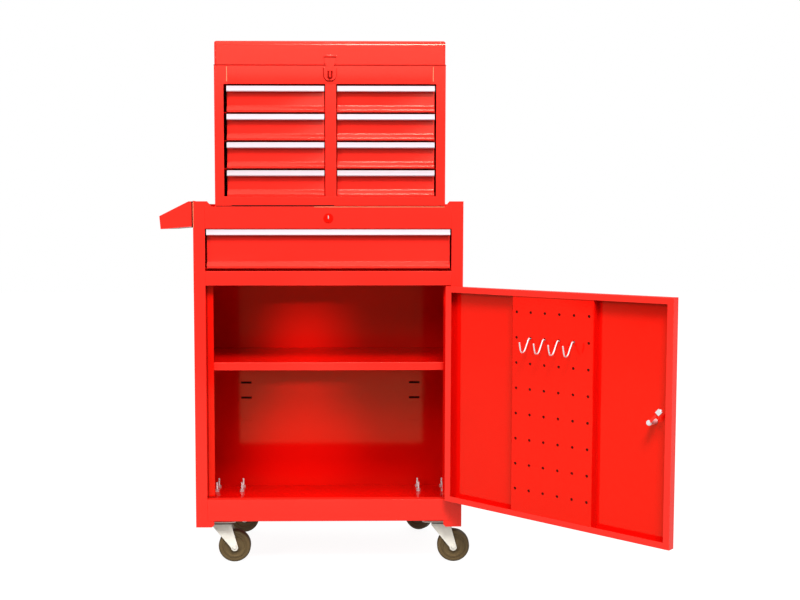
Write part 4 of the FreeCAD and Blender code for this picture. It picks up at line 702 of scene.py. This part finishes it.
rivet = {"radius": 0.0030, "high": 0.42, "sides": 14, "rings": 8, "crispFrom": 40}
rivetRows = {
    # body: (first place, last place, count, direction in which the heads look), lengths in millimetres
    "cabinet": [((-269.5, 150, 125), (-269.5, 150, 740), 8, (0, 1, 0)),
                ((269.5, 150, 125), (269.5, 150, 740), 8, (0, 1, 0))],
    "chest": [((-227.5, 118, 785), (-227.5, 118, 1012), 4, (0, 1, 0)),
              ((235.2, 118, 785), (235.2, 118, 1012), 4, (0, 1, 0)),
              ((-189.2, 118.8, 1038.3), (196.8, 118.8, 1038.3), 7, (0, 1, 0))],
    "lid": [((-189.2, 118.8, 1058.7), (196.8, 118.8, 1058.7), 7, (0, 1, 0))],
}
runnerRivets = {"rows": 4, "pitch": 57.6, "lowest": 785.0, "ys": (-96.0, 84.0), "xs": (-234.7, 242.3)}


def rivetTree():
    tree, start, end = newTree("rivets", {
        "Head Radius": ("Float", rivet["radius"]), "Head Height": ("Float", rivet["high"]),
        "Finish": ("Material", None)})
    ball = put(tree, "GeometryNodeMeshUVSphere", {
        "Segments": rivet["sides"], "Rings": rivet["rings"], "Radius": start["Head Radius"]})
    flat = put(tree, "ShaderNodeCombineXYZ", {"X": 1.0, "Y": 1.0, "Z": start["Head Height"]})
    dome = put(tree, "GeometryNodeTransform",
               {"Geometry": ball.outputs["Mesh"], "Scale": flat.outputs["Vector"]}).outputs["Geometry"]
    return finishTree(tree, end, onPoints(tree, start["Geometry"], dome), start["Finish"])


def makeRivets():
    tree = rivetTree()
    for body, rows in rivetRows.items():
        spots = []
        for first, last, count, looks in rows:
            for k in range(count):
                at = Vector(first).lerp(Vector(last), k / (count - 1)) * mm
                spots.append((tuple(at), looks))
        if body == "chest":
            for row in range(runnerRivets["rows"]):
                z = runnerRivets["lowest"] + row * runnerRivets["pitch"]
                spots += [((x * mm, y * mm, z * mm), (math.copysign(1, x), 0, 0))
                          for x in runnerRivets["xs"] for y in runnerRivets["ys"]]
        mesh = grow(f"{body}_rivets", tree, pointsMesh(f"{body}_rivetPlaces", spots),
                    {"Finish": materials["redPaint"]})
        addPiece(f"{body}_rivets", mesh, "redPaint", body, (), rivet["crispFrom"])


# continuous hinges: round knuckles in a row along local Z, with the leaf and its webs

doorPlace = Matrix.Translation((0.2545, -0.1526, 0)) @ Matrix.Rotation(math.radians(316.2), 4, "Z")
toDoor = doorPlace.inverted()
lidHingePlace = Matrix.Translation((-0.2047, 0.1206, 1.0485)) @ Matrix.Rotation(math.pi / 2, 4, "Y")
hinges = {
    # node: axis start, length, knuckles, first of its own, leaf and web boxes across the axis in millimetres
    "door_hinge_fixed": {"place": Matrix.Translation((0.2545, -0.1526, 0.1542)), "length": 429.5, "knuckles": 9,
                         "first": 0, "leaf": ((0.2, 2.6), (1.0, 16.6)), "web": ((0.2, 0.0), (1.0, 2.6))},
    "door_hinge_moving": {"place": doorPlace @ Matrix.Translation((0, 0, 0.1542)), "length": 429.5, "knuckles": 9,
                          "first": 1, "leaf": ((1.0, -16.6), (1.8, -2.6)), "web": ((1.0, -2.6), (1.8, 0.0))},
    "lid_hinge_fixed": {"place": lidHingePlace, "length": 417.0, "knuckles": 7, "first": 0,
                        "leaf": ((2.7, -2.6), (16.7, -1.8)), "web": ((0.0, -2.6), (2.7, -1.8))},
    "lid_hinge_moving": {"place": lidHingePlace, "length": 417.0, "knuckles": 7, "first": 1,
                         "leaf": ((-16.7, -2.6), (-2.7, -1.8)), "web": ((-2.7, -2.6), (0.0, -1.8))},
}
knuckle = {"radius": 0.0024, "slit": 0.0004, "sides": 20}


def knuckleTree():
    tree, start, end = newTree("knuckleRow", {
        "Radius": ("Float", knuckle["radius"]), "Sides": ("Int", knuckle["sides"]), "Length": ("Float", None),
        "Count": ("Int", None), "First": ("Float", None), "Pitch": ("Float", None), "Finish": ("Material", None)})
    tube = put(tree, "GeometryNodeMeshCylinder", {
        "Vertices": start["Sides"], "Radius": start["Radius"], "Depth": start["Length"]}).outputs["Mesh"]
    row = rowOf(tree, tube, start["Count"], start["First"], start["Pitch"])
    return finishTree(tree, end, row, start["Finish"])


def makeHinges():
    tree = knuckleTree()
    for node, h in hinges.items():
        pitch = h["length"] * mm / h["knuckles"]
        own = range(h["first"], h["knuckles"], 2)
        mesh = grow(node, tree, bpy.data.meshes.new("knuckleSeed"), {
            "Length": pitch - knuckle["slit"], "Count": len(own), "First": (h["first"] + 0.5) * pitch,
            "Pitch": 2 * pitch, "Finish": materials["redPaint"]})
        bm = bmesh.new()
        bm.from_mesh(mesh)
        (x0, y0), (x1, y1) = h["leaf"]
        addBlock(bm, (x0 * mm, y0 * mm, 0), (x1 * mm, y1 * mm, h["length"] * mm))
        (x0, y0), (x1, y1) = h["web"]
        for k in own:
            addBlock(bm, (x0 * mm, y0 * mm, k * pitch + knuckle["slit"] / 2),
                     (x1 * mm, y1 * mm, (k + 1) * pitch - knuckle["slit"] / 2))
        bmesh.ops.transform(bm, matrix=h["place"], verts=bm.verts)
        addPiece(node + "_rolled", meshFrom(node + "_rolled", bm), "redPaint", bodyOf[node], (node,))


# side panels: gloss outside, and on the jamb set back beside the door the shaded copy of the red paint, as painted
# shade

jamb = {"inside": 0.2565, "behind": -0.1490, "ahead": -0.120, "low": 0.09, "high": 0.62}


def onJamb(f):
    c = f.calc_center_median()
    setBack = jamb["behind"] < c.y < jamb["ahead"] and abs(c.x) < jamb["inside"]
    return setBack and jamb["low"] < c.z < jamb["high"]


def makeSides():
    for side in ("left", "right"):
        finishWithShadedFaces(f"cabinet_side_{side}", onJamb)


# shelf: gloss front lip, upward faces in the shaded copy of the red paint; door pan: gloss outside, the shaded copy
# within its lips; both painted shade

shadedFaceLimit = {"facing": 0.9, "panDepth": 10.0}


def makeShelf():
    finishWithShadedFaces("shelf", lambda f: f.normal.z > shadedFaceLimit["facing"])


def makeDoorPan():
    inward = doorPlace.to_3x3() @ Vector((0, -1, 0))

    def insidePan(f):
        depth = (toDoor @ f.calc_center_median()).y / mm
        return f.normal.dot(inward) > shadedFaceLimit["facing"] and depth > -shadedFaceLimit["panDepth"]

    finishWithShadedFaces("door_pan", insidePan)


# peg panel: the six-sided holes of the solid made round in a copy; lengths in the door's frame, in millimetres

pegPanel = {"firstX": 178.25, "pitchX": 32.2, "firstZ": 200.8, "pitchZ": 50.0, "holeRadius": 2.8, "cuts": 3,
            "nearHole": (1.5, 3.2), "level": 0.05, "side": 2.0}
# dark sheet behind the panel, seen through its holes: painted shade
pegHoleShade = ((169.5, -18.2, 147.0), (348.0, -18.0, 591.0))


# centre of the nearest hole and the way from it, for a spot in the door's frame
def holeOf(spot):
    column = round((spot.x - pegPanel["firstX"]) / pegPanel["pitchX"])
    row = round((spot.z - pegPanel["firstZ"]) / pegPanel["pitchZ"])
    centre = Vector((pegPanel["firstX"] + column * pegPanel["pitchX"], 0,
                     pegPanel["firstZ"] + row * pegPanel["pitchZ"]))
    away = Vector((spot.x - centre.x, 0, spot.z - centre.z))
    low, high = pegPanel["nearHole"]
    return centre, away, low < away.length < high


def makePegPanel():
    bm = mergedCopy("peg_panel")
    inDoor = {v: toDoor @ v.co / mm for v in bm.verts}
    sides = []
    for e in bm.edges:
        a, b = (inDoor[v] for v in e.verts)
        alongRim = abs(a.y - b.y) < pegPanel["level"] and (a - b).length > pegPanel["side"]
        if alongRim and holeOf(a)[2] and holeOf(b)[2]:
            sides.append(e)
    bmesh.ops.subdivide_edges(bm, edges=sides, cuts=pegPanel["cuts"], use_grid_fill=True)
    for v in bm.verts:
        spot = toDoor @ v.co / mm
        centre, away, atHole = holeOf(spot)
        if atHole:
            onCircle = centre + away.normalized() * pegPanel["holeRadius"]
            v.co = doorPlace @ (Vector((onCircle.x, spot.y, onCircle.z)) * mm)
    finishSheet("peg_panel", "redPaintShaded", fineEdge["pegPanel"], bm)


# hooks: bent bright wire with round ends, hung in one row of the panel

hooks = {"columns": (1, 2, 3, 4), "z": 500.8, "skin": -19.3, "wire": 1.5, "holeRadius": 2.4, "clear": 0.05,
         # route as (in behind the panel's face, below the hole): the tail first, then the bends in front
         "behind": [(3.0, -7.0), (3.0, -0.5), (0.4, 0.0)],
         "front": [(-3.0, -0.9), (-5.6, 0.3), (-10.5, 7.5), (-15.0, 15.0), (-18.0, 20.0), (-21.5, 23.4),
                   (-26.0, 24.6), (-30.5, 23.2), (-33.2, 19.0), (-35.2, 12.0), (-37.0, 5.0)],
         "sides": 14, "steps": 7, "tipRings": 8, "crispFrom": 50}


def wireTree():
    tree, start, end = newTree("bentWire", {
        "Wire Radius": ("Float", hooks["wire"] * mm), "Sides": ("Int", hooks["sides"]),
        "Steps": ("Int", hooks["steps"]), "Finish": ("Material", None)})
    curve = put(tree, "GeometryNodeMeshToCurve", {"Mesh": start["Geometry"]}).outputs["Curve"]
    smooth = put(tree, "GeometryNodeCurveSplineType", {"Curve": curve}, spline_type="CATMULL_ROM").outputs["Curve"]
    fine = put(tree, "GeometryNodeSetSplineResolution",
               {"Geometry": smooth, "Resolution": start["Steps"]}).outputs["Geometry"]
    ring = put(tree, "GeometryNodeCurvePrimitiveCircle",
               {"Resolution": start["Sides"], "Radius": start["Wire Radius"]}).outputs["Curve"]
    rod = put(tree, "GeometryNodeCurveToMesh", {"Curve": fine, "Profile Curve": ring, "Fill Caps": True})
    ball = put(tree, "GeometryNodeMeshUVSphere", {
        "Segments": start["Sides"], "Rings": hooks["tipRings"], "Radius": start["Wire Radius"]}).outputs["Mesh"]
    tips = put(tree, "GeometryNodeCurveEndpointSelection", {"Start Size": 1, "End Size": 1}).outputs["Selection"]
    ends = put(tree, "GeometryNodeInstanceOnPoints", {"Points": fine, "Selection": tips, "Instance": ball})
    wire = joined(tree, [rod.outputs["Mesh"], ends.outputs["Instances"]])
    return finishTree(tree, end, wire, start["Finish"])


def makeHooks():
    spots, edges = [], []
    base = hooks["z"] - hooks["holeRadius"] + hooks["wire"] + hooks["clear"]
    for column in hooks["columns"]:
        x = pegPanel["firstX"] + column * pegPanel["pitchX"]
        for k, (inward, drop) in enumerate(hooks["behind"] + hooks["front"]):
            if k:
                edges.append((len(spots) - 1, len(spots)))
            spots.append(doorPlace @ (Vector((x, hooks["skin"] + inward, base - drop)) * mm))
    mesh = bpy.data.meshes.new("hookLines")
    mesh.from_pydata(spots, edges, [])
    made = grow("peg_hooks", wireTree(), mesh, {"Finish": materials["brightSteel"]})
    addPiece("peg_hooks_bent", made, "brightSteel", bodyOf["peg_hooks"], ("peg_hooks",),
             hooks["crispFrom"])


# door lock: bright barrel and plug; the cam's arm is painted red, its block and the hub stay bright

doorLock = {"x": 468.2, "z": 369.2, "face": -2.6, "seat": 23.0, "armFrom": 5.2, "blockFrom": 23.3}


def makeDoorLock():
    finishSheet("door_lock_barrel", fold=fineEdge["lockBarrel"])
    bm = mergedCopy("door_lock_cam")
    for f in bm.faces:
        spot = toDoor @ f.calc_center_median() / mm
        depth = doorLock["face"] - spot.y
        away = math.hypot(spot.x - doorLock["x"], spot.z - doorLock["z"])
        onArm = doorLock["armFrom"] < away < doorLock["blockFrom"] and depth > doorLock["seat"]
        f.material_index = 1 if onArm else 0
    mesh = meshFrom("door_lock_cam_finished", bm)
    mesh.materials.append(materials["brightSteel"])
    mesh.materials.append(materials["redPaint"])
    piece = addPiece("door_lock_cam_finished", mesh, "brightSteel", bodyOf["door_lock_cam"],
                     ("door_lock_cam",))
    softenEdges(piece, fineEdge["lockCam"])


# plates behind the slots of the back panel: the upper ones dark, painted shade in the slots; the lowest are painted
# like the panel and barely show

slotShade = {"xs": (-199.0, 199.0), "length": 25.6, "high": 5.6, "from": 148.4, "to": 149.2,
              "upper": ((348.0, 312.0), "deepPaintedShade"), "lowest": ((260.0,), "redPaintShaded")}


def makeSlotShades():
    t = slotShade
    for row in ("upper", "lowest"):
        heights, look = t[row]
        boxes = [((x - t["length"] / 2, t["from"], z - t["high"] / 2),
                  (x + t["length"] / 2, t["to"], z + t["high"] / 2)) for x in t["xs"] for z in heights]
        blocksPiece(f"back_slot_shades_{row}", boxes, look, "cabinet")


# thin dark strip on the chest's rim, on which the lid rests: painted shade for the shadow line under the lid's edge

rimShadow = {"low": 1046.6, "high": 1048.8, "left": -235.0, "right": 242.5, "front": -144.3, "back": 117.0,
             "thick": 1.6}


def makeRimShadow():
    e = rimShadow
    inner = e["front"] + e["thick"]
    boxes = [((e["left"], e["front"], e["low"]), (e["right"], inner, e["high"]))]
    boxes += [((x, inner, e["low"]), (x + e["thick"], e["back"], e["high"]))
              for x in (e["left"], e["right"] - e["thick"])]
    softenEdges(blocksPiece("chest_rim_shadow_strip", boxes, "seamShade", "chest"), fineEdge["rimShade"])


# narrow strips: dark ones are painted shade under the chest's foot, along the door's jamb, at the side tray's end,
# beside the drawer lock's keyway and inside the hasp's loop; pale ones are painted highlights on edges of the front
# and in the keyway

strips = {
    # name: body, slot, finish, boxes in millimetres
    "chest_foot_shadow": ("chest", "tread", "deepPaintedShade", [
        ((-233.0, -146.0, 758.2), (240.6, -144.1, 760.2)), ((-200.0, -146.2, 758.2), (12.0, -144.0, 761.4))]),
    "deck_front_painted_highlight": ("cabinet", "red_paint", "seamPaintedHighlight", [((-30.0, -150.15, 757.0), (240.6, -150.0, 758.0))]),
    "chest_front_painted_highlights": ("chest", "red_paint", "seamPaintedHighlight", [
        ((-209.1, -144.3, 1014.8), (-207.9, -144.0, 1044.6)), ((215.8, -144.3, 1014.8), (217.0, -144.0, 1044.6))]),
    "jamb_shadow_line": ("cabinet", "tread", "seamShade", [
        ((-255.4, -130.2, 144.0), (-254.2, -130.0, 594.6)), ((-255.4, -130.2, 143.2), (-241.6, -130.0, 145.2))]),
    "tray_end_shadow": ("cabinet", "tread", "deepPaintedShade", [((-283.3, -145.5, 715.0), (-280.0, -145.0, 769.0))]),
    "side_corner_painted_highlight": ("cabinet", "red_paint", "seamPaintedHighlight", [((-279.6, -150.15, 714.0), (-278.6, -150.0, 767.5))]),
    "drawer_lock_slot_painted_highlight": ("drawer_lock", "bright", "brightSteel", [((-0.8, -151.7, 733.0), (0.8, -151.5, 739.4))]),
    "drawer_lock_slot_painted_shade": ("drawer_lock", "tread", "seamShade", [((0.8, -151.7, 730.0), (1.8, -151.5, 739.4))]),
    "hasp_slot_shade": ("chest", "tread", "seamShade", [((-1.5, -145.7, 1019.0), (9.1, -145.5, 1036.0))]),
}


def makeStrips():
    for name, (body, slot, look, boxes) in strips.items():
        blocksPiece(name, boxes, look, body)


# thin rose around the drawer lock in the shaded copy of the red paint, and a dark pad on the chest under the hasp's
# loop, painted shade that outlines the hasp; each a touch wider than its piece

rose = {"radius": 10.4, "thick": 0.35, "place": (0.0, -150.0, 733.7), "steps": 40}
haspShadow = {"x": 3.2, "z": 1028.4, "radius": 14.1, "top": 1042.5, "front": -144.3, "back": -144.0, "steps": 24}


def makeRose():
    r, t = rose["radius"] * mm, rose["thick"] * mm
    place = Matrix.Translation(Vector(rose["place"]) * mm) @ Matrix.Rotation(-math.pi / 2, 4, "Z")
    mesh = turned("drawer_lock_rose", [(0.0, 0.0), (0.0, r), (t, r), (t, 0.0)], place, rose["steps"], False)
    addPiece("drawer_lock_rose", mesh, "redPaintShaded", "cabinet")


def makeHaspShadow():
    h = haspShadow
    outline = arcPoints((h["x"], h["z"]), h["radius"], 180, 360, h["steps"])
    outline += [(h["x"] + h["radius"], h["top"]), (h["x"] - h["radius"], h["top"])]
    bm = bmesh.new()
    addBar(bm, [[Vector((x, y, z)) * mm for x, z in outline] for y in (h["front"], h["back"])])
    addPiece("hasp_shadow_pad", meshFrom("hasp_shadow_pad", bm), "seamShade", "chest")


# creases along the lid's front and both bends of each drawer's face: low ridges whose upper side leans back and
# catches the strip; lengths in millimetres

crease = {"lidEnds": (-233.4, 240.9), "lid": (-144.0, 1088.4, 0.78, 2.0),  # y and z of its foot, then depth and height
          # feet behind the drawer's front and above its lower edge, depth and height, gap to the drawer's sides
          "feet": ((-0.05, 3.9), (4.95, 12.7)), "drawer": (0.36, 0.85), "inset": 1.4,
          "under": 0.3, "shoulder": 0.28, "root": (0.15, 0.5), "crispFrom": 4}


def makeCrease(part, ends, ridges):
    bm = bmesh.new()
    under, (inward, over) = crease["under"], crease["root"]
    for y, z, deep, high in ridges:
        section = [(y, z), (y - deep, z + under), (y - deep * crease["shoulder"], z + under + high),
                   (y + inward, z + over + high)]
        addBar(bm, [[Vector((x, a, b)) * mm for a, b in section] for x in ends])
    name = part + ("_crease" if len(ridges) == 1 else "_creases")
    addPiece(name, meshFrom(name, bm), "redPaint", bodyOf[part], (), crease["crispFrom"])
    return name


def makeCreases():
    made = [makeCrease("lid", crease["lidEnds"], [crease["lid"]])]
    for part in ["wide_drawer"] + smallDrawers:
        low, high = (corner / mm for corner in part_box(part))
        made.append(makeCrease(part, (low.x + crease["inset"], high.x - crease["inset"]),
                               [(low.y + back, low.z + up, *crease["drawer"]) for back, up in crease["feet"]]))
    return made


def paintNodes():
    for name, node in nodes.items():
        node.data.materials.clear()
        node.data.materials.append(materials[slotFinish[slotOf[name]]])


paintNodes()
print("frame nodes painted")
makeSheetParts()
print("sheet parts finished:", len(sheetParts) + len(smallDrawers))
pulls = sorted(n for n in nodes if n.endswith("_pull"))
for part in pulls:
    makePull(part)
print("pulls made:", len(pulls))
makeCasters()
makeFloorBolts()
makeRivets()
print("casters, bolts and rivets made")
makeHinges()
makeSides()
makeShelf()
makeDoorPan()
print("hinges, sides, shelf and door pan made")
makePegPanel()
blocksPiece("peg_panel_hole_shade", [pegHoleShade], "deepPaintedShade", "door", doorPlace)
makeSlotShades()
makeHooks()
makeDoorLock()
print("peg panel, hooks and door lock made")
makeRimShadow()
makeStrips()
makeRose()
makeHaspShadow()
creasePieces = makeCreases()
print("edging, strips and", len(creasePieces), "creases made")

keepStripOn(creasePieces + ["hasp_strap_finished"])
